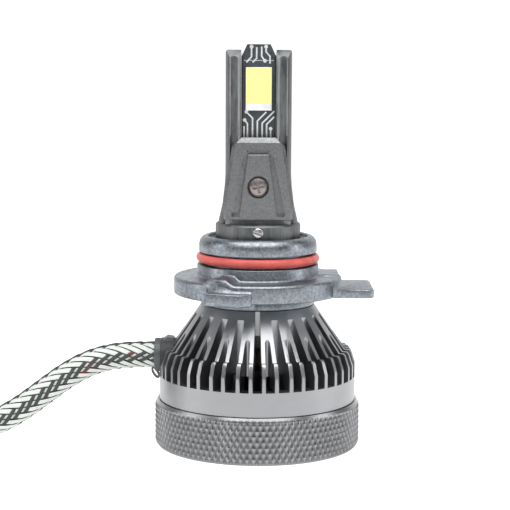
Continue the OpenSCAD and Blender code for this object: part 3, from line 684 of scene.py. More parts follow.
# ---- Lead ----
# The lead's line from the outlet to its loose coil, in metres
LEAD_OUT = [
    (-0.016, 0, 0.0146), (-0.02, 0, 0.0146), (-0.024, 0, 0.0143), (-0.028, -0.0002, 0.0132),
    (-0.032, -0.0005, 0.011), (-0.036, -0.0009, 0.008), (-0.04, -0.0013, 0.0051), (-0.044, -0.0017, 0.0031),
    (-0.048, -0.0021, 0.0022), (-0.053, -0.0027, 0.0022), (-0.058, -0.0033, 0.0022),
    (-0.063, -0.0039, 0.0022), (-0.068, -0.0044, 0.0022),
]
COIL_CENTRE = (-0.074, 0.02)
COIL_OUTER_R = 0.0246
COIL_PITCH = 0.0046
COIL_TURNS = 0.875
TAIL_TURN_R = 0.0095
TAIL_TURN = 135
LEAD_REST_Z = 0.0022


def lead_line():
    """The lead's centre line: out and down to the floor, once round inwards, and back into the plug."""
    line = list(LEAD_OUT)
    coil_steps, tail_steps = 63, 18
    for k in range(coil_steps + 1):
        share = k / coil_steps
        angle = radians(-90 - 360 * COIL_TURNS * share)
        radius = COIL_OUTER_R - COIL_PITCH * COIL_TURNS * share
        line.append((COIL_CENTRE[0] + radius * cos(angle), COIL_CENTRE[1] + radius * sin(angle), LEAD_REST_Z))
    from_r = COIL_OUTER_R - COIL_PITCH * COIL_TURNS - TAIL_TURN_R
    start = -90 - 360 * COIL_TURNS
    centre = (COIL_CENTRE[0] + from_r * cos(radians(start)), COIL_CENTRE[1] + from_r * sin(radians(start)))
    for k in range(1, tail_steps + 1):
        angle = radians(start - TAIL_TURN * k / tail_steps)
        line.append((centre[0] + TAIL_TURN_R * cos(angle), centre[1] + TAIL_TURN_R * sin(angle), LEAD_REST_Z))
    line.append((line[-1][0], line[-1][1] + 0.001, LEAD_REST_Z))
    return line


def along(line, step=0.0006):
    """The same line with its corners rounded off and its points evenly spaced."""
    points = np.array(line)
    for _ in range(2):
        quarter = points[:-1] * 0.75 + points[1:] * 0.25
        three = points[:-1] * 0.25 + points[1:] * 0.75
        points = np.concatenate([[points[0]], np.stack([quarter, three], 1).reshape(-1, 3), [points[-1]]])
    run = np.concatenate([[0], np.cumsum(np.linalg.norm(np.diff(points, axis=0), axis=1))])
    at = np.linspace(0, run[-1], int(run[-1] / step) + 1)
    return np.stack([np.interp(at, run, points[:, i]) for i in range(3)], 1), float(run[-1])


def braid_tree():
    """Flat ribbons that wind round a curve and pass over and under the ribbons that wind the other way."""
    t = Tree(
        "braid ribbons", Strands="Int", Steps="Int", Length="Float", Pitch="Float", Radius="Float",
        Width="Float", Thickness="Float", Hand="Float", Lift="Float", Material="Material",
    )
    g = t.given
    grid = t.add(
        "GeometryNodeMeshGrid", {"Size X": 1.0, "Size Y": 1.0, "Vertices X": g["Steps"], "Vertices Y": 9}
    )
    starts = t.add("GeometryNodeMeshLine", {"Count": g["Strands"], "Offset": (0, 0, 0)})
    ribbons = t.add(
        "GeometryNodeInstanceOnPoints", {"Points": starts.outputs[0], "Instance": grid.outputs[0]}
    )
    number = t.add("GeometryNodeInputIndex")
    marked = t.add(
        "GeometryNodeStoreNamedAttribute",
        {"Geometry": ribbons.outputs[0], "Name": "strand", "Value": number.outputs[0]},
        data_type="INT", domain="INSTANCE",
    )
    real = t.add("GeometryNodeRealizeInstances", {"Geometry": marked.outputs[0]})
    strand = t.add("GeometryNodeInputNamedAttribute", {"Name": "strand"}, data_type="INT").outputs[0]
    spot = t.add("ShaderNodeSeparateXYZ", {0: t.add("GeometryNodeInputPosition").outputs[0]})
    share = t.maths("ADD", spot.outputs[0], 0.5)
    around = t.maths("MULTIPLY", spot.outputs[1], 2 * pi)
    near_end = t.maths("SUBTRACT", 0.5, t.maths("ABSOLUTE", spot.outputs[0]))
    closing = t.maths("MULTIPLY", near_end, t.maths("MULTIPLY", g["Steps"], 0.6), clamp=True)
    half_w = t.maths("MULTIPLY", t.maths("MULTIPLY", g["Width"], 0.5), closing)
    half_t = t.maths("MULTIPLY", t.maths("MULTIPLY", g["Thickness"], 0.5), closing)
    side = t.maths("MULTIPLY", half_w, t.maths("COSINE", around))
    rise = t.maths("MULTIPLY", half_t, t.maths("SINE", around))
    # The ribbon's slope on the sleeve, and its width laid square to it
    slope = t.maths("ARCTANGENT", t.maths("DIVIDE", t.maths("MULTIPLY", g["Radius"], 2 * pi), g["Pitch"]))
    along_by = t.maths("MULTIPLY", t.maths("MULTIPLY", side, g["Hand"]), t.maths("SINE", slope))
    round_by = t.maths("DIVIDE", t.maths("MULTIPLY", side, t.maths("COSINE", slope)), g["Radius"])
    run = t.maths("MULTIPLY", share, g["Length"])
    twist = t.maths("MULTIPLY", t.maths("DIVIDE", run, g["Pitch"]), t.maths("MULTIPLY", g["Hand"], 2 * pi))
    own = t.maths("MULTIPLY", t.maths("DIVIDE", strand, g["Strands"]), 2 * pi)
    middle = t.maths("ADD", twist, own)
    rows = t.maths("SUBTRACT", t.maths("COSINE", t.maths("MULTIPLY", middle, 4.0)), 0.25)
    over = t.maths("MAXIMUM", t.maths("MINIMUM", t.maths("MULTIPLY", rows, 4.0), 1.0), -1.0)
    radius = t.maths("ADD", t.maths("ADD", g["Radius"], t.maths("MULTIPLY", over, g["Lift"])), rise)
    angle = t.maths("ADD", middle, round_by)
    place = t.add(
        "GeometryNodeSampleCurve",
        {"Curves": g["Geometry"], "Length": t.maths("SUBTRACT", run, along_by)},
        mode="LENGTH", use_all_curves=True,
    )
    point, tangent, normal = (place.outputs[n] for n in ("Position", "Tangent", "Normal"))
    across = t.vector("CROSS_PRODUCT", tangent, normal)
    outwards = t.vector(
        "ADD", t.scaled(normal, t.maths("COSINE", angle)), t.scaled(across, t.maths("SINE", angle))
    )
    filament = t.add(
        "GeometryNodeStoreNamedAttribute",
        {"Geometry": real.outputs[0], "Name": "filament", "Value": side},
        data_type="FLOAT", domain="POINT",
    )
    moved = t.add(
        "GeometryNodeSetPosition",
        {"Geometry": filament.outputs[0], "Position": t.vector("ADD", point, t.scaled(outwards, radius))},
    )
    welded = t.add("GeometryNodeMergeByDistance", {"Geometry": moved.outputs[0], "Distance": 0.0005 * MM})
    t.close(welded.outputs[0])
    return t


def filaments(name, base, amount):
    """Glossy plastic filaments that lie side by side in a ribbon."""
    finish = Finish(name, base, roughness=0.38, Sheen_Weight=0.15)
    across = finish.nodes.new("ShaderNodeAttribute")
    across.attribute_name = "filament"
    stripes = finish.maths("SINE", finish.maths("MULTIPLY", across.outputs["Fac"], 2 * pi / (0.2 * MM)))
    finish.shades(stripes, -1.0, 1.0, amount)
    finish.relief(stripes, 0.04, 0.6)
    finish.relief(finish.grain(0.3), 0.02, 0.4)
    return finish.material


class BULB_OT_lead(bpy.types.Operator):
    """Braids the lead's sleeve round its wires, from the outlet to the plug"""

    bl_idname = "bulb.lead"
    bl_label = "Lead"

    def execute(self, context):
        settings = context.scene.bulb_lead
        points, total = along(lead_line())
        outer = settings.diameter / 2
        thickness, lift, step = 0.2 * MM, 0.13 * MM, 0.55 * MM
        middle = outer - thickness / 2 - lift
        tree = braid_tree()
        ribbons = [
            tree.grow(
                self.curve(points), f"braid {label}", Strands=settings.strands, Steps=int(total / step),
                Length=total, Pitch=settings.pitch, Radius=middle, Width=width, Thickness=thickness,
                Hand=hand, Lift=side * lift, Material=filaments(f"{label} filament", tuple(shade), 0.2),
            )
            for label, width, hand, side, shade in (
                ("pale", settings.pale_width, 1.0, -1.0, settings.pale),
                ("dark", settings.dark_width, -1.0, 1.0, settings.dark),
            )
        ]
        wires = self.wires(points, middle - lift - thickness / 2, settings)
        lead = shaded(joined("braided_lead", ribbons + [wires]), 60)
        settle(lead, "braid", "cord", "cord_coil", "cord_tail")
        return {"FINISHED"}

    def curve(self, points):
        """A curve object along the lead."""
        line = bpy.data.curves.new("lead line", "CURVE")
        line.dimensions = "3D"
        spline = line.splines.new("POLY")
        spline.points.add(len(points) - 1)
        for point, at in zip(spline.points, points):
            point.co = (*at, 1.0)
        obj = bpy.data.objects.new("lead line", line)
        bpy.context.collection.objects.link(obj)
        return obj

    def wires(self, points, radius, settings):
        """The wires' wrapping that shows between the ribbons, dark with patches of red."""
        line = self.curve(points[::2])
        line.data.bevel_depth = radius
        line.data.bevel_resolution = 3
        line.data.use_fill_caps = True
        mesh = baked(line)
        bpy.data.objects.remove(line)
        core = bpy.data.objects.new("wires", mesh)
        bpy.context.collection.objects.link(core)
        finish = Finish("wire wrapping", tuple(c * 0.45 for c in settings.dark), roughness=0.6)
        patches = finish.grain(1.6, 2.0)
        dark, red = tuple(c * 0.5 for c in settings.dark), (0.24, 0.03, 0.03)
        finish.tint(finish.spread(patches, 0.62, 0.7), dark, red)
        mesh.materials.clear()
        mesh.materials.append(finish.material)
        return core


# ---- Base ring ----
def knurled_metal():
    """Turned aluminium whose knurl tips are painted bright as highlight and whose grooves are painted dark as
    shade.
    """
    finish = Finish("knurled aluminium", tuple(metals().ring), metallic=1.0, roughness=0.32)
    ridge = finish.nodes.new("ShaderNodeAttribute")
    ridge.attribute_name = "knurl"
    # Painted light and shade: the knurl's height lightens the tips and darkens the grooves, laid over a
    # random mottle.
    tips = finish.maths("MULTIPLY", ridge.outputs["Fac"], 0.7)
    mottle_and_painted_knurl_shade = finish.maths("MULTIPLY_ADD", finish.grain(0.6, 3.0), 0.3, tips)
    finish.shades(mottle_and_painted_knurl_shade, 0.1, 0.85, 0.55)
    finish.rough(finish.grain(2.0), 0.3, 0.7, 0.24, 0.38)
    finish.relief(finish.grain(0.05, 2.0, stretch=(0.02, 0.02, 1)), 0.008, 0.3)
    return finish.material


class BULB_OT_ring(bpy.types.Operator):
    """Turns the base ring and knurls it"""

    bl_idname = "bulb.ring"
    bl_label = "Base ring"

    def execute(self, context):
        knurl = context.scene.bulb_knurl
        lip_r, lip_t, wall, foot, chamfer, chamfer_w = 14.05, 0.8, 1.7, 0.45, 0.9, 0.5
        rows, slope_rows = 30, 5
        low, high = foot, RING_H - chamfer
        side = [(RING_R, low + (high - low) * k / rows) for k in range(rows + 1)]
        slope = [
            (RING_R - chamfer_w * k / slope_rows, high + chamfer * k / slope_rows)
            for k in range(1, slope_rows + 1)
        ]
        mouth = corner((RING_R - wall + 0.15, RING_H - 0.15), 0.15, 90, 180, 3)
        outline = [
            (lip_r, 0), (RING_R - foot, 0), *side, *slope, *mouth, (RING_R - wall, lip_t), (lip_r, lip_t),
        ]
        metal = knurled_metal()
        blank = revolved("ring blank", lambda angle: outline, 8 * knurl.around, metal)
        ring = knurl_tree().grow(
            blank, "knurled_base", Radius=RING_R * MM, Around=knurl.around, Tall=knurl.tall,
            Depth=knurl.depth, Material=metal,
        )
        given(ring, metal, turned_metal("turned rim", tuple(metals().turned), roughness=0.3))
        for face in ring.data.polygons:
            face.material_index = face.center.z > high * MM and face.normal.z > 0.1
        settle(shaded(ring, 40), "ring_metal", "knurled_ring")
        return {"FINISHED"}


# ---- Heat sink ----
BAND_TOP = 11.56
BAR_FACE_TOP = 13.65
BAR_TOP = 16.0


class BULB_OT_heat_sink(bpy.types.Operator):
    """Finishes the heat sink: satin cone and bars, slots whose walls are painted near-black as shade, and
    pale floors
    """

    bl_idname = "bulb.heat_sink"
    bl_label = "Heat sink"

    def execute(self, context):
        metal = metals()
        bm = copied("heat_sink")
        for face in bm.faces:
            face.material_index = self.kind(face)
        rounded_edges(bm, context.scene.bulb_edges.fine, 30)
        sink = levelled(linked("finned_heat_sink", bm), 30)
        given(
            sink,
            turned_metal("turned sink", tuple(metal.turned)),
            # The near-black finish on the walls of the slots is painted shade for the deep slots.
            moulded("slot wall painted shade", tuple(metal.slot), roughness=0.62, size=0.25, Specular_IOR_Level=0.25),
            bright_metal("slot floor", tuple(metal.floor), roughness=0.4, size=0.5),
            blasted_metal("bar slope", tuple(metal.slope), size=0.16, amount=0.35, depth=0.04),
        )
        settle(sink, "sink_metal", "heat_sink")
        return {"FINISHED"}

    def kind(self, face):
        """Which finish a face has: 0 turned, 1 slot wall, 2 slot floor, 3 bar slope."""
        at, out = face.calc_center_median() / MM, face.normal
        radius = hypot(at.x, at.y)
        if at.z < BAND_TOP - 0.1 or radius < 8.5:
            return 0
        radial = (out.x * at.x + out.y * at.y) / radius
        sideways = max(0.0, 1 - radial * radial - out.z * out.z) ** 0.5
        if sideways > 0.6 or (abs(out.z) > 0.9 and radius > 9.2):
            return 1
        if abs(radial) > 0.9 and radius < 11.7:
            return 2
        if 0.2 < out.z < 0.6 and BAR_FACE_TOP < at.z < BAR_TOP:
            return 3
        return 0


# ---- Adapter ----
ADAPTER_FOOT = foot_of("adapter_ring")
FLANGE_FOOT = ADAPTER_FOOT + 1.7
FLANGE_TOP = FLANGE_FOOT + 2.95
FLANGE_R = 13.9
BARREL_R = 10.05
UPPER_R = 9.75
GROOVE_FOOT = FLANGE_TOP + 1.95
GROOVE_TOP = GROOVE_FOOT + 2.0
MOUTH_TOP = GROOVE_TOP + 2.7
MOUTH_R = 8.2
COLLAR_BORE_R = 7.04


def smooth(value):
    """Eases a share in and out between 0 and 1."""
    value = min(1.0, max(0.0, value))
    return value * value * (3 - 2 * value)


class BULB_OT_adapter(bpy.types.Operator):
    """Casts the adapter with its lugs, tab and raised wave, and fits the O-ring"""

    bl_idname = "bulb.adapter"
    bl_label = "Adapter and seal"

    def execute(self, context):
        skin = blasted_metal("blasted adapter", tuple(metals().cast))
        ring = revolved("adapter", self.outline, 480, skin)
        extras = [self.lug(-20), self.lug(160), self.tab(), self.step()]
        adapter = combined(ring, "UNION", extras)
        given(shaded(adapter, 38), skin)
        settle(adapter, "cast_metal", "adapter_ring", body="adapter")
        self.seal()
        return {"FINISHED"}

    def wave(self, angle):
        """Height of the raised wave on the flange, round the axis from the front towards the left."""
        middle, flat, ramp = 28.0, 4.5, 8.0
        off = abs((degrees(angle) + 90 + middle + 180) % 360 - 180)
        return 0.85 * smooth(1 - (off - flat) / ramp)

    def outline(self, angle):
        """The adapter's section at an angle: foot, flange, barrel, seal groove and domed mouth."""
        top = FLANGE_TOP + self.wave(angle)
        edge, low_edge, fillet, small, lip = 0.55, 0.3, 0.4, 0.15, 0.3
        crown_w, crown_h, steps = UPPER_R - MOUTH_R - lip, 1.6, 8
        crown_z = MOUTH_TOP - crown_h
        quarter = [radians(90 * k / steps) for k in range(steps + 1)]
        crown = [(MOUTH_R + lip + crown_w * cos(a), crown_z + crown_h * sin(a)) for a in quarter]
        return [
            (COLLAR_BORE_R, ADAPTER_FOOT), (9.3, ADAPTER_FOOT), (9.5, ADAPTER_FOOT + 0.2), (9.5, FLANGE_FOOT),
            *corner((FLANGE_R - low_edge, FLANGE_FOOT + low_edge), low_edge, 270, 360, 4),
            *corner((FLANGE_R - edge, top - edge), edge, 0, 90, 6),
            *corner((BARREL_R + fillet, top + fillet), fillet, 270, 180, 4),
            *corner((BARREL_R - small, GROOVE_FOOT - small), small, 0, 90, 3),
            (8.7, GROOVE_FOOT), (8.7, GROOVE_TOP),
            *corner((UPPER_R - small, GROOVE_TOP + small), small, 270, 360, 3),
            *crown, *corner((MOUTH_R + lip, MOUTH_TOP - lip), lip, 120, 180, 4),
            (MOUTH_R, MOUTH_TOP - 1.0), (COLLAR_BORE_R, MOUTH_TOP - 1.0),
        ]



    def lug(self, turn):
        """A catch on the flange's edge, with one square end and one that runs out."""
        low, high, proud = FLANGE_FOOT - 0.35, FLANGE_FOOT + 1.75, 1.5
        face_y, root_y = -FLANGE_R - proud, -FLANGE_R + 1.2
        outline = [
            (-3.85, root_y), (-3.7, face_y), (2.4, face_y), (3.85, -FLANGE_R + 0.1), (3.85, root_y),
        ]
        lug = solid_of("lug", outline, low, high, Matrix.Rotation(radians(turn), 4, "Z"))
        return eased(lug, 0.3 * MM, 20, 4)

    def tab(self):
        """The flat tab that sticks out at one side of the flange."""
        low, high = FLANGE_FOOT, FLANGE_FOOT + 1.45
        reach, front, back, turn_r = 18.9, -6.6, 5.2, 1.0
        outline = [
            (9.6, front), *corner((reach - turn_r, front + turn_r), turn_r, 270, 360, 6),
            *corner((reach - turn_r, back - turn_r), turn_r, 0, 90, 6), (9.6, back),
        ]
        return eased(solid_of("tab", outline, low, high), 0.28 * MM, 40, 4)

    def step(self):
        """The low step on the flange beside the barrel."""
        outline = rectangle(9.2, 13.4, -1.7, 5.2)
        return eased(solid_of("step", outline, FLANGE_TOP - 0.6, FLANGE_TOP + 0.28), 0.1 * MM, 40, 3)

    def seal(self):
        """The red O-ring, which sags a little at one side and has a moulding seam."""
        rubber = moulded(
            "red silicone", tuple(metals().seal), roughness=0.42, size=0.2, depth=0.015, Sheen_Weight=0.1
        )
        seal_r, ring_r, middle, sag = 0.74, 9.44, (GROOVE_FOOT + GROOVE_TOP) / 2, 0.07

        def section(angle):
            lift = middle - sag * cos(angle + radians(20))
            flash, steps = 0.02, 24
            points = []
            for k in range(steps):
                a = 2 * pi * k / steps
                out = seal_r + (flash if k in (0, steps // 2) else 0)
                points.append((ring_r + out * cos(a), lift + out * sin(a)))
            return points

        seal = shaded(revolved("seal_ring", section, 180, rubber), 60)
        settle(seal, "red_seal", "o_ring", body="adapter")


# ---- Stem, boards and light surfaces ----
FRONT = Matrix.Rotation(pi / 2, 4, "X")
BOARD_FACE = 1.15


def pillowed(name, half_w, low, high, back, rise):
    """A shallow closed cushion on the front face, highest in its middle."""
    bm = bmesh.new()
    steps = 10
    rows = []
    for i in range(steps + 1):
        row = []
        for j in range(steps + 1):
            across, up = 2 * i / steps - 1, 2 * j / steps - 1
            swell = rise * (1 - across ** 4) * (1 - up ** 4)
            at = FRONT @ Vector((half_w * across, (low + high) / 2 + (high - low) / 2 * up, back + swell))
            row.append(bm.verts.new(at * MM))
        rows.append(row)
    for i in range(steps):
        for j in range(steps):
            bm.faces.new((rows[i][j], rows[i + 1][j], rows[i + 1][j + 1], rows[i][j + 1]))
    rim = [e for e in bm.edges if len(e.link_faces) == 1]
    made = bmesh.ops.extrude_edge_only(bm, edges=rim)
    verts = [v for v in made["geom"] if isinstance(v, bmesh.types.BMVert)]
    for vert in verts:
        vert.co.y = -(back - 0.15) * MM
    bmesh.ops.contextual_create(bm, geom=[e for e in bm.edges if len(e.link_faces) == 1])
    bmesh.ops.recalc_face_normals(bm, faces=bm.faces)
    return shaded(linked(name, bm), 50)


def strip_outline(points, width):
    """The outline of a flat track that follows a bent line, with mitred corners."""
    line = [Vector(p) for p in points]
    left, right = [], []
    for i, point in enumerate(line):
        before = (point - line[i - 1]).normalized() if i else (line[1] - line[0]).normalized()
        after = (line[i + 1] - point).normalized() if i < len(line) - 1 else before
        across = Vector((-(before + after).y, (before + after).x)).normalized()
        spread = width / 2 / max(0.5, across.dot(Vector((-before.y, before.x))))
        left.append(point + across * spread)
        right.append(point - across * spread)
    return [tuple(p) for p in right + left[::-1]]


class BULB_OT_stem(bpy.types.Operator):
    """Finishes the stem and its locking pins"""

    bl_idname = "bulb.stem"
    bl_label = "Stem"

    def execute(self, context):
        edges = context.scene.bulb_edges
        metal = streaked_metal("stem metal", tuple(metals().stem))
        stem = softened("stem blank", "lamp_stem", edges.fine, metal)
        stem = given(shaded(combined(stem, "DIFFERENCE", self.flutes()), 30), metal)
        stem.name = "fluted_stem"
        settle(stem, "stem_metal", "lamp_stem")
        steel = bright_metal("pin steel", (0.5, 0.49, 0.48), roughness=0.25)
        pins = softened("locking_pin_set", "locking_pins", edges.fine, steel)
        pins = given(shaded(combined(pins, "DIFFERENCE", self.pin_slots()), 30), steel)
        settle(pins, "bright_steel", "locking_pins")
        finish_node("copper_core", bright_metal("oxidised copper", (0.09, 0.06, 0.05), roughness=0.5))
        return {"FINISHED"}

    def flutes(self):
        """The wide shallow hollows down the four faces of the wings."""
        half_depth, hollow_r, deep, across = 2.9, 2.6, 0.3, 4.12
        foot, top = 51.2, top_of("lamp_stem") + 1
        middle = half_depth - deep + hollow_r
        return [
            solid_of("flute", circle(x, y, hollow_r, 64), foot, top)
            for x in (-across, across) for y in (-middle, middle)
        ]

    def pin_slots(self):
        """The slot that a driver turns each pin with."""
        reach, half_w, tilt, pin_z = 12.0, 0.16, radians(20), 35.75
        place = Matrix.Translation((0, 0, pin_z * MM)) @ Matrix.Rotation(tilt, 4, "Y")
        slot_l = 1.4
        outline = rectangle(-slot_l, slot_l, -half_w, half_w)
        front = place @ FRONT
        back = Matrix.Rotation(pi, 4, "Z") @ front
        deep = 6.85
        return [solid_of("pin slot", outline, deep, reach, face) for face in (front, back)]


class BULB_OT_boards(bpy.types.Operator):
    """Prints the tracks on both light boards and sets the light surfaces on them"""

    bl_idname = "bulb.boards"
    bl_label = "Light boards"

    # The tracks' lines over a board, across it and up from the floor, in millimetres
    TRACKS = [
        [(-2.37, 50.9), (-2.37, 52.74)],
        [(-1.81, 50.9), (-1.81, 53.16), (-2.28, 53.73)],
        [(-0.98, 50.9), (-0.98, 54.04), (-2.0, 55.06)],
        [(-0.2, 50.9), (-0.2, 53.6), (1.26, 55.06)],
        [(0.59, 50.9), (0.59, 53.23), (2.55, 55.19)],
        [(1.32, 50.9), (1.32, 53.05), (2.55, 54.28)],
        [(1.98, 50.9), (1.98, 52.33)],
        [(-1.2, 65.6), (-1.2, 63.98), (-2.03, 63.07)],
        [(-0.36, 65.5), (-0.36, 63.74), (-1.01, 63.07)],
        [(0.45, 65.6), (0.45, 64.05), (0.99, 63.31)],
        [(1.15, 65.6), (1.15, 64.79), (1.8, 64.05), (1.8, 62.87)],
    ]
    PADS = [(-2.28, 53.73), (-2.0, 55.06), (1.98, 52.33), (-1.2, 65.6), (0.99, 63.31), (1.15, 65.6)]

    def execute(self, context):
        mask = solder_mask("board mask", tuple(metals().board))
        for node in ("front_board", "rear_board"):
            board = softened(f"{node}_skin", node, 0.03 * MM, mask)
            settle(board, "board", node)
        silver = bright_metal("tinned track", (0.86, 0.87, 0.86), roughness=0.4, size=0.15)
        tracks = eased(self.tracks(), 0.02 * MM, 40, 1)
        settle(shaded(copied_round("board_tracks", tracks, 2, silver)), "board")
        frame_white = moulded("white ceramic", (0.86, 0.87, 0.87), roughness=0.3, size=0.2)
        package = softened("package", "front_led", 0.04 * MM, frame_white)
        packages = shaded(copied_round("light_packages", package, 2, frame_white))
        settle(packages, "led_white", "front_led", "rear_led")
        low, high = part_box("front_phosphor")
        rim, proud = 0.24, 0.06
        surface = pillowed(
            "light surface", high.x / MM + rim, low.z / MM, high.z / MM + rim, -low.y / MM + proud, 0.03
        )
        glow = self.phosphor()
        settle(
            copied_round("light_surfaces", surface, 2, glow), "phosphor", "front_phosphor", "rear_phosphor"
        )
        return {"FINISHED"}

    def tracks(self):
        """The tracks, their pads and the thin line above the light source, as one mesh."""
        track_w, pad_r, rim_w, raised, rooted = 0.26, 0.3, 0.07, 0.03, BOARD_FACE - 0.01
        bm = bmesh.new()
        for line in self.TRACKS:
            prism(bm, strip_outline(line, track_w), rooted, BOARD_FACE + raised, FRONT)
        for at in self.PADS:
            prism(bm, circle(*at, pad_r, 20), rooted, BOARD_FACE + raised * 1.4, FRONT)
        rim = strip_outline([(-2.4, 63.39), (2.4, 63.39)], rim_w)
        prism(bm, rim, rooted, BOARD_FACE + raised / 2, FRONT)
        return linked("tracks", bm)

    def phosphor(self):
        """The light surfaces' yellow skin, which glows faintly."""
        finish = Finish("phosphor", tuple(metals().phosphor), roughness=0.5, Coat_Weight=0.15)
        finish.set("Emission Color", (*metals().phosphor, 1.0))
        finish.set("Emission Strength", 0.12)
        finish.shades(finish.grain(0.12, 4.0), 0.3, 0.7, 0.04)
        finish.relief(finish.grain(0.08, 3.0), 0.01, 0.4)
        return finish.material


# ---- Clamps ----
class BULB_OT_clamps(bpy.types.Operator):
    """Mills the two clamp blocks and sets their screws"""

    bl_idname = "bulb.clamps"
    bl_label = "Clamps and screws"

    FACE = 4.55
    FOOT_Z = 37.75
    COLLAR_TOP = 36.92
    SCREW_Z = 43.0

    def execute(self, context):
        bare = tuple(metals().clamp)
        skin = blasted_metal("blasted clamp", bare, size=0.14, amount=0.22, depth=0.03, roughness=0.38)
        block = self.block()
        clamps = copied_round("clamp_blocks", block, 2, skin)
        # The groove's faces get a copy of the clamp metal at a quarter of its brightness: painted shade in
        # the groove.
        dark = blasted_metal("painted clamp groove shade", tuple(0.25 * c for c in bare), size=0.14, roughness=0.5)
        given(clamps, skin, dark)
        for face in clamps.data.polygons:
            face.material_index = self.in_painted_groove_shade(face.center / MM)
        settle(shaded(clamps, 30), "clamp_metal", "front_clamp", "rear_clamp")
        steel = bright_metal("screw steel", (0.3, 0.265, 0.25), roughness=0.34, size=0.2)
        screw = pan_screw(1.66, 0.82, 0.8, 3.4, steel)
        screw.data.transform(Matrix.Translation((0, -3.55 * MM, self.SCREW_Z * MM)) @ FRONT)
        screws = copied_round("clamp_screw_pair", screw, 2, steel)
        settle(shaded(screws, 40), "bright_steel", "clamp_screws")
        return {"FINISHED"}

    def block(self):
        """One clamp: a tapering plate on a foot and a sole, with its arch, ramps and screw hole cut."""
        rings = [
            (self.FACE, [(3.55, 50.2), (3.72, 50.05), (5.2, 40.3), (5.27, self.FOOT_Z)]),
            (3.75, [(2.76, 51.0), (4.28, 49.6), (5.8, 40.3), (5.6, self.FOOT_Z)]),
            (2.95, [(2.76, 51.0), (4.28, 49.6), (5.8, 40.3), (5.6, self.FOOT_Z)]),
        ]
        bm = bmesh.new()
        rows = []
        for depth, half in rings:
            outline = half + [(-x, z) for x, z in reversed(half)]
            rows.append([bm.verts.new(FRONT @ Vector((x * MM, z * MM, depth * MM))) for x, z in outline])
        for front, back in zip(rows, rows[1:]):
            for i in range(len(front)):
                j = (i + 1) % len(front)
                bm.faces.new((front[i], front[j], back[j], back[i]))
        bm.faces.new(rows[0])
        bm.faces.new(rows[-1])
        bmesh.ops.recalc_face_normals(bm, faces=bm.faces)
        plate = linked("clamp plate", bm)
        foot_w, foot_top, back_face, sole_w, sole_face = 2.72, 50.6, 1.2, 5.3, 4.3
        foot = rectangle(-foot_w, foot_w, self.COLLAR_TOP, foot_top)
        sole = rectangle(-sole_w, sole_w, self.COLLAR_TOP, self.FOOT_Z + 0.4)
        lower = [
            solid_of("clamp foot", foot, back_face, 3.2, FRONT),
            solid_of("sole", sole, 2.97, sole_face, FRONT),
        ]
        plate = combined(plate, "UNION", lower)
        return eased(combined(plate, "DIFFERENCE", self.cutters()), 0.07 * MM, 24)

    def in_painted_groove_shade(self, at):
        """Whether a place lies in the arch's groove, whose metal is painted dark as shade."""
        half = 4.35 - (at.z - 38.75) * 0.2
        screw = hypot(at.x, at.z - self.SCREW_Z)
        return 3.5 < abs(at.y) < self.FACE - 0.1 and 38.78 < at.z < 48.0 and abs(at.x) < half and screw > 1.95

    def cutters(self):
        """The arch round the middle panel, the panel's sloping top, and the screw's hole."""
        outer = [(4.3, 38.75), (2.5, 47.7), (1.45, 49.15)]
        inner = [(2.98, 38.75), (1.62, 48.3)]
        arch = [(-x, z) for x, z in outer] + outer[::-1] + inner + [(-x, z) for x, z in inner[::-1]]
        floor = self.FACE - 0.95
        arch_cut = solid_of("arch", arch, floor, self.FACE + 1, FRONT)
        side_on = Matrix(((0, 0, 1, 0), (1, 0, 0, 0), (0, 1, 0, 0), (0, 0, 0, 1)))
        over = -self.FACE - 0.1
        slope = [(over, 48.05), (over, 49.1), (0.5 - self.FACE, 49.1), (0.5 - self.FACE, 48.95)]
        slope_cut = solid_of("slope", slope, -1.85, 1.85, side_on)
        ramp = [(over, 38.1), (over, 38.85), (0.95 - self.FACE, 38.85), (0.95 - self.FACE, 38.75)]
        ramps = [solid_of("ramp", ramp, *sorted((side * 2.98, side * 4.3)), side_on) for side in (-1, 1)]
        hole = solid_of("hole", circle(0, self.SCREW_Z, 1.81, 48), 3.5, self.FACE + 1, FRONT)
        bore = solid_of("bore", circle(0, self.SCREW_Z, 0.86, 24), 1.0, self.FACE + 1, FRONT)
        return [arch_cut, slope_cut, *ramps, hole, bore]


def pan_screw(head_r, head_h, shank_r, shank_l, material):
    """A pan-head screw that points down -Z from its seat at z = 0, with a cross recess."""
    side = 0.35
    turns = [radians(10 * k) for k in range(9)]
    dome = [(head_r * cos(a), head_h * (side + (1 - side) * sin(a))) for a in turns]
    tip = 0.1
    outline = [
        (0, -shank_l), (shank_r - tip, -shank_l), (shank_r, -shank_l + tip), (shank_r, 0), (head_r, 0),
        *dome, (0, head_h),
    ]
    screw = revolved("screw", lambda angle: outline, 48, material)
    arm_l, arm_w, deep = head_r * 0.56, head_r * 0.11, head_h * 0.55
    cross = []
    for turn in (12, 102):
        arm = rectangle(-arm_l, arm_l, -arm_w, arm_w)
        place = Matrix.Rotation(radians(turn), 4, "Z")
        cross.append(solid_of("cross", arm, head_h - deep, head_h + 1, place))
    screw = combined(screw, "DIFFERENCE", cross)
    return given(eased(screw, 0.03 * MM, 40, 1), material)


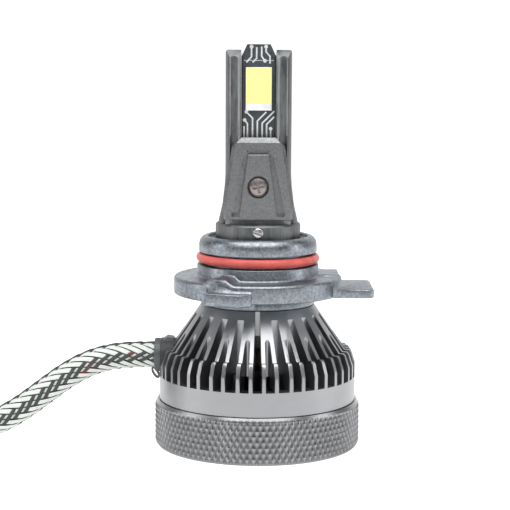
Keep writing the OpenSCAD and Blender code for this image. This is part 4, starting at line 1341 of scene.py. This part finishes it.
# ---- Outlet and plug ----
class BULB_OT_outlet(bpy.types.Operator):
    """Finishes the grommet, the tie round the lead and the two leads inside"""

    bl_idname = "bulb.outlet"
    bl_label = "Lead outlet"

    def execute(self, context):
        edges = context.scene.bulb_edges
        rubber = moulded("black rubber", (0.035, 0.035, 0.037), roughness=0.55, size=0.15, depth=0.02)
        settle(softened("lead_grommet", "cord_grommet", edges.cast, rubber), "black_rubber", "cord_grommet")
        plastic = moulded("grey nylon", (0.09, 0.1, 0.105), roughness=0.42, size=0.2, depth=0.02)
        tie = self.tie(plastic)
        settle(tie, "tie_plastic", "cable_tie")
        finish_node("supply_leads", moulded("red insulation", (0.42, 0.03, 0.025), roughness=0.4))
        return {"FINISHED"}

    def tie(self, plastic):
        """A ribbed strap round the lead, its locking head above and its curled tail below."""
        outer_r, inner_r, strap_w, edge, lead_z = 2.73, 2.22, 1.1, 0.12, 14.6
        strap_x = -17.1
        section = [
            (inner_r, 0), *corner((outer_r - edge, edge), edge, 270, 360, 3),
            *corner((outer_r - edge, strap_w - edge), edge, 0, 90, 3), (inner_r, strap_w),
        ]
        strap = revolved("strap", lambda angle: section, 72, plastic)
        centre = Matrix.Translation((strap_x * MM, 0, lead_z * MM))
        strap.data.transform(centre @ Matrix.Rotation(pi / 2, 4, "Y"))
        bars = []
        for k in range(30):
            place = Matrix.Rotation(radians(12 * k), 4, "X")
            place.translation = (strap_x * MM, 0, lead_z * MM)
            outline = rectangle(0.14, strap_w - 0.14, -0.09, 0.09)
            bars.append(given(solid_of("rib", outline, outer_r - 0.05, outer_r + 0.05, place), plastic))
        profile = [
            (-16.3, 16.1), (-13.75, 16.1), (-13.7, 17.1), (-13.95, 17.6), (-14.95, 17.8), (-15.7, 17.3),
        ]
        head = solid_of("head", profile, -1.3, 1.3, FRONT)
        window = solid_of("window", rectangle(-15.2, -14.2, 16.35, 16.95), -2, 2, FRONT)
        head = given(eased(combined(head, "DIFFERENCE", [window]), 0.14 * MM, 20, 3), plastic)
        return given(shaded(joined("lead_tie", [strap, head, self.tail(plastic), *bars]), 40), plastic)

    def tail(self, plastic):
        """The tie's cut end, curled back under the lead as a narrow loop."""
        middle_x, middle_z, half_w, half_h = -17.0, 11.6, 0.36, 0.92
        lean, thick, wide, steps = radians(-30), 0.3, 0.9, 40

        def edge(grow, angle):
            x, z = (half_w + grow) * cos(angle), (half_h + grow) * sin(angle)
            return (middle_x + x * cos(lean) + z * sin(lean), middle_z - x * sin(lean) + z * cos(lean))

        bm = bmesh.new()
        rings = [
            [bm.verts.new((x * MM, side * wide / 2 * MM, z * MM)) for x, z in
             (edge(grow, 2 * pi * k / steps) for k in range(steps))]
            for grow, side in ((-thick / 2, -1), (thick / 2, -1), (thick / 2, 1), (-thick / 2, 1))
        ]
        for here, there in zip(rings, rings[1:] + rings[:1]):
            for k in range(steps):
                bm.faces.new((here[k], here[(k + 1) % steps], there[(k + 1) % steps], there[k]))
        bmesh.ops.recalc_face_normals(bm, faces=bm.faces)
        return given(linked("tail", bm), plastic)


class BULB_OT_plug(bpy.types.Operator):
    """Finishes the plug at the lead's far end"""

    bl_idname = "bulb.plug"
    bl_label = "Plug"

    def execute(self, context):
        edges = context.scene.bulb_edges
        plastic = moulded("black nylon", (0.03, 0.03, 0.032), roughness=0.4, size=0.2, depth=0.02)
        shell = softened("plug_housing", "plug_shell", edges.cast, plastic, angle=40, segments=3)
        low, high = (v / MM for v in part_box("plug_shell"))
        middle_x, start_y = (low.x + high.x) / 2, low.y
        half_rib, rib_w, root_z, proud_z = 4.2, 0.5, high.z - 0.4, high.z + 0.3
        ribs = []
        for k in range(6):
            y = start_y + 2.2 + 1.3 * k
            outline = rectangle(middle_x - half_rib, middle_x + half_rib, y, y + rib_w)
            ribs.append(eased(solid_of("grip rib", outline, root_z, proud_z), 0.1 * MM, 40))
        back_y, tip_y, back_w, tip_w = start_y + 11, high.y - 0.8, 1.8, 1.3
        latch = [
            (middle_x - back_w, back_y), (middle_x + back_w, back_y),
            (middle_x + tip_w, tip_y), (middle_x - tip_w, tip_y),
        ]
        ribs.append(eased(solid_of("latch", latch, root_z, proud_z), 0.15 * MM, 40, 3))
        shell = given(combined(shell, "UNION", ribs), plastic)
        settle(shaded(shell), "black_plastic", "plug_shell")
        rubber = moulded("seal rubber", (0.05, 0.05, 0.052), roughness=0.6, size=0.15)
        settle(self.seal(rubber), "black_rubber", "plug_seal")
        finish_node("plug_contacts", bright_metal("tinned contact", (0.75, 0.74, 0.7)))
        return {"FINISHED"}

    def seal(self, rubber):
        """A ribbed rubber sleeve where the lead goes into the plug."""
        low, high = (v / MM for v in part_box("plug_seal"))
        long, radius = high.y - low.y, (high.x - low.x) / 2
        steps = 24
        outline = [(0, 0)]
        for k in range(steps + 1):
            outline.append((radius - 0.16 * (1 - cos(6 * pi * k / steps)), long * k / steps))
        outline.append((0, long))
        seal = revolved("wire_seal", lambda angle: outline, 48, rubber)
        place = Matrix.Translation(((low.x + high.x) / 2 * MM, low.y * MM, (low.z + high.z) / 2 * MM))
        seal.data.transform(place @ Matrix.Rotation(-pi / 2, 4, "X"))
        return seal


# ---- Fan ----
class BULB_OT_fan(bpy.types.Operator):
    """Finishes the fan: its frame, turning blades, windings and screws"""

    bl_idname = "bulb.fan"
    bl_label = "Fan"

    def execute(self, context):
        edges = context.scene.bulb_edges
        frame_black = moulded("fan frame plastic", (0.028, 0.028, 0.03), roughness=0.45, size=0.18)
        settle(softened("fan_housing", "fan_frame", edges.fine, frame_black), "black_plastic", "fan_frame")
        rotor_black = moulded("rotor plastic", (0.04, 0.04, 0.042), roughness=0.36, size=0.25)
        blades = copied_round("blades", self.blade(rotor_black), 9, rotor_black)
        rotor = given(joined("fan_impeller", [self.cup(rotor_black), blades]), rotor_black)
        settle(shaded(rotor, 40), "black_plastic", "fan_rotor", body="fan")
        steel = bright_metal("plated screw", (0.6, 0.6, 0.58), roughness=0.28)
        screw = pan_screw(1.05, 0.8, 0.66, 6.6, steel)
        at, reach, seat_z = radians(60), 12.85, 1.7
        spot = Matrix.Translation((reach * cos(at) * MM, reach * sin(at) * MM, seat_z * MM))
        screw.data.transform(spot @ Matrix.Rotation(pi, 4, "X"))
        settle(shaded(copied_round("fan_screw_set", screw, 3, steel), 40), "bright_steel", "fan_screws")
        finish_node("stator_coils", self.winding())
        finish_node("stator_core", turned_metal("stator sheets", (0.3, 0.31, 0.33), lines=0.05))
        finish_node("rotor_magnet", moulded("magnet", (0.05, 0.05, 0.055), roughness=0.5, size=0.1))
        finish_node("fan_bearings", bright_metal("bronze bush", (0.5, 0.33, 0.16), roughness=0.4))
        finish_node("fan_shaft", bright_metal("ground shaft", (0.65, 0.65, 0.66), roughness=0.18))
        finish_node("shaft_clip", bright_metal("spring clip", (0.4, 0.4, 0.42)))
        finish_node("fan_board", solder_mask("fan board mask", (0.02, 0.16, 0.06)))
        return {"FINISHED"}

    def cup(self, plastic):
        """The rotor's hub, open below, with a shallow recess in its top."""
        hub_r, low, high, inner_r, wall = 6.0, 1.9, 7.1, 5.24, 0.7
        edge, chamfer, bore_r, recess = 0.5, 0.15, 0.62, 0.12
        outline = [
            (bore_r, high - wall), (inner_r, high - wall), (inner_r, low),
            (hub_r - chamfer, low), (hub_r, low + chamfer),
            *corner((hub_r - edge, high - edge), edge, 0, 90, 5),
            (4.6, high), (4.45, high - recess), (bore_r, high - recess),
        ]
        return revolved("cup", lambda angle: outline, 96, plastic)

    def blade(self, plastic):
        """One swept and cambered blade with rounded edges."""
        root_r, tip_r, low, high, thick = 5.85, 11.2, 2.25, 7.05, 0.42
        across, along_blade = 12, 10
        bm = bmesh.new()
        for face in (-1, 1):
            rows = []
            for i in range(across + 1):
                share = i / across
                radius = root_r + (tip_r - root_r) * share
                row = []
                for j in range(along_blade + 1):
                    up = j / along_blade
                    camber = 0.9 * sin(pi * up)
                    rim = min(1.0, 5 * min(up, 1 - up) + 0.25)
                    lean = (up - 0.5) * 5.2 + camber + share * share * 2.2 + face * thick / 2 * rim
                    angle = lean / (root_r + 2.5)
                    height = low + (high - low) * up
                    x, y = radius * cos(angle), radius * sin(angle)
                    row.append(bm.verts.new((x * MM, y * MM, height * MM)))
                rows.append(row)
            for i in range(across):
                for j in range(along_blade):
                    bm.faces.new((rows[i][j], rows[i + 1][j], rows[i + 1][j + 1], rows[i][j + 1]))
        bmesh.ops.bridge_loops(bm, edges=[e for e in bm.edges if len(e.link_faces) == 1])
        bmesh.ops.recalc_face_normals(bm, faces=bm.faces)
        return given(shaded(linked("blade", bm), 50), plastic)

    def winding(self):
        """Varnished copper wire, laid side by side."""
        finish = Finish("copper winding", (0.55, 0.22, 0.08), metallic=0.7, roughness=0.3, Coat_Weight=0.3)
        turns = finish.add("ShaderNodeTexWave", Vector=finish.place(), Scale=1.0 / (0.9 * MM), Distortion=0.6)
        finish.shades(turns.outputs["Fac"], 0.2, 0.8, 0.3)
        finish.relief(turns.outputs["Fac"], 0.05, 0.6)
        return finish.material


# ---- Driver ----
class BULB_OT_driver(bpy.types.Operator):
    """Finishes the driver board and what stands on it"""

    bl_idname = "bulb.driver"
    bl_label = "Driver"

    def execute(self, context):
        finish_node("driver_board", solder_mask("driver mask", (0.015, 0.12, 0.05)))
        ferrite = moulded("ferrite", (0.09, 0.09, 0.095), roughness=0.6, size=0.1, depth=0.03)
        finish_node("driver_coil", ferrite)
        finish_node("driver_capacitors", moulded("capacitor sleeve", (0.016, 0.018, 0.026), roughness=0.3))
        finish_node("driver_chips", moulded("chip epoxy", (0.022, 0.022, 0.024), roughness=0.55, size=0.08))
        finish_node("driver_screws", bright_metal("driver screws", (0.55, 0.55, 0.54)))
        finish_node("led_wires", moulded("wire insulation", (0.06, 0.02, 0.018), roughness=0.4))
        return {"FINISHED"}


OPERATORS = [
    BULB_OT_stage, BULB_OT_plug, BULB_OT_lead, BULB_OT_ring, BULB_OT_heat_sink, BULB_OT_adapter,
    BULB_OT_stem, BULB_OT_boards, BULB_OT_clamps, BULB_OT_outlet, BULB_OT_fan, BULB_OT_driver,
]


class BULB_PT_panel(bpy.types.Panel):
    """Lists the bulb's settings and the steps that build it"""

    bl_idname = "BULB_PT_panel"
    bl_label = "LED headlight bulb"
    bl_space_type = "VIEW_3D"
    bl_region_type = "UI"
    bl_category = "Bulb"

    def draw(self, context):
        for operator in OPERATORS:
            self.layout.operator(operator.bl_idname)
        for name, group in SETTINGS.items():
            box = self.layout.box()
            for key in group.__annotations__:
                box.prop(getattr(context.scene, name), key)


CLASSES = [*SETTINGS.values(), *OPERATORS, BULB_PT_panel]


def register():
    for item in CLASSES:
        bpy.utils.register_class(item)
    for name, group in SETTINGS.items():
        setattr(bpy.types.Scene, name, PointerProperty(type=group))


def unregister():
    for name in SETTINGS:
        delattr(bpy.types.Scene, name)
    for item in reversed(CLASSES):
        bpy.utils.unregister_class(item)


def main():
    register()
    for operator in OPERATORS:
        group, call = operator.bl_idname.split(".")
        getattr(getattr(bpy.ops, group), call)()


if __name__ == "__main__":
    main()
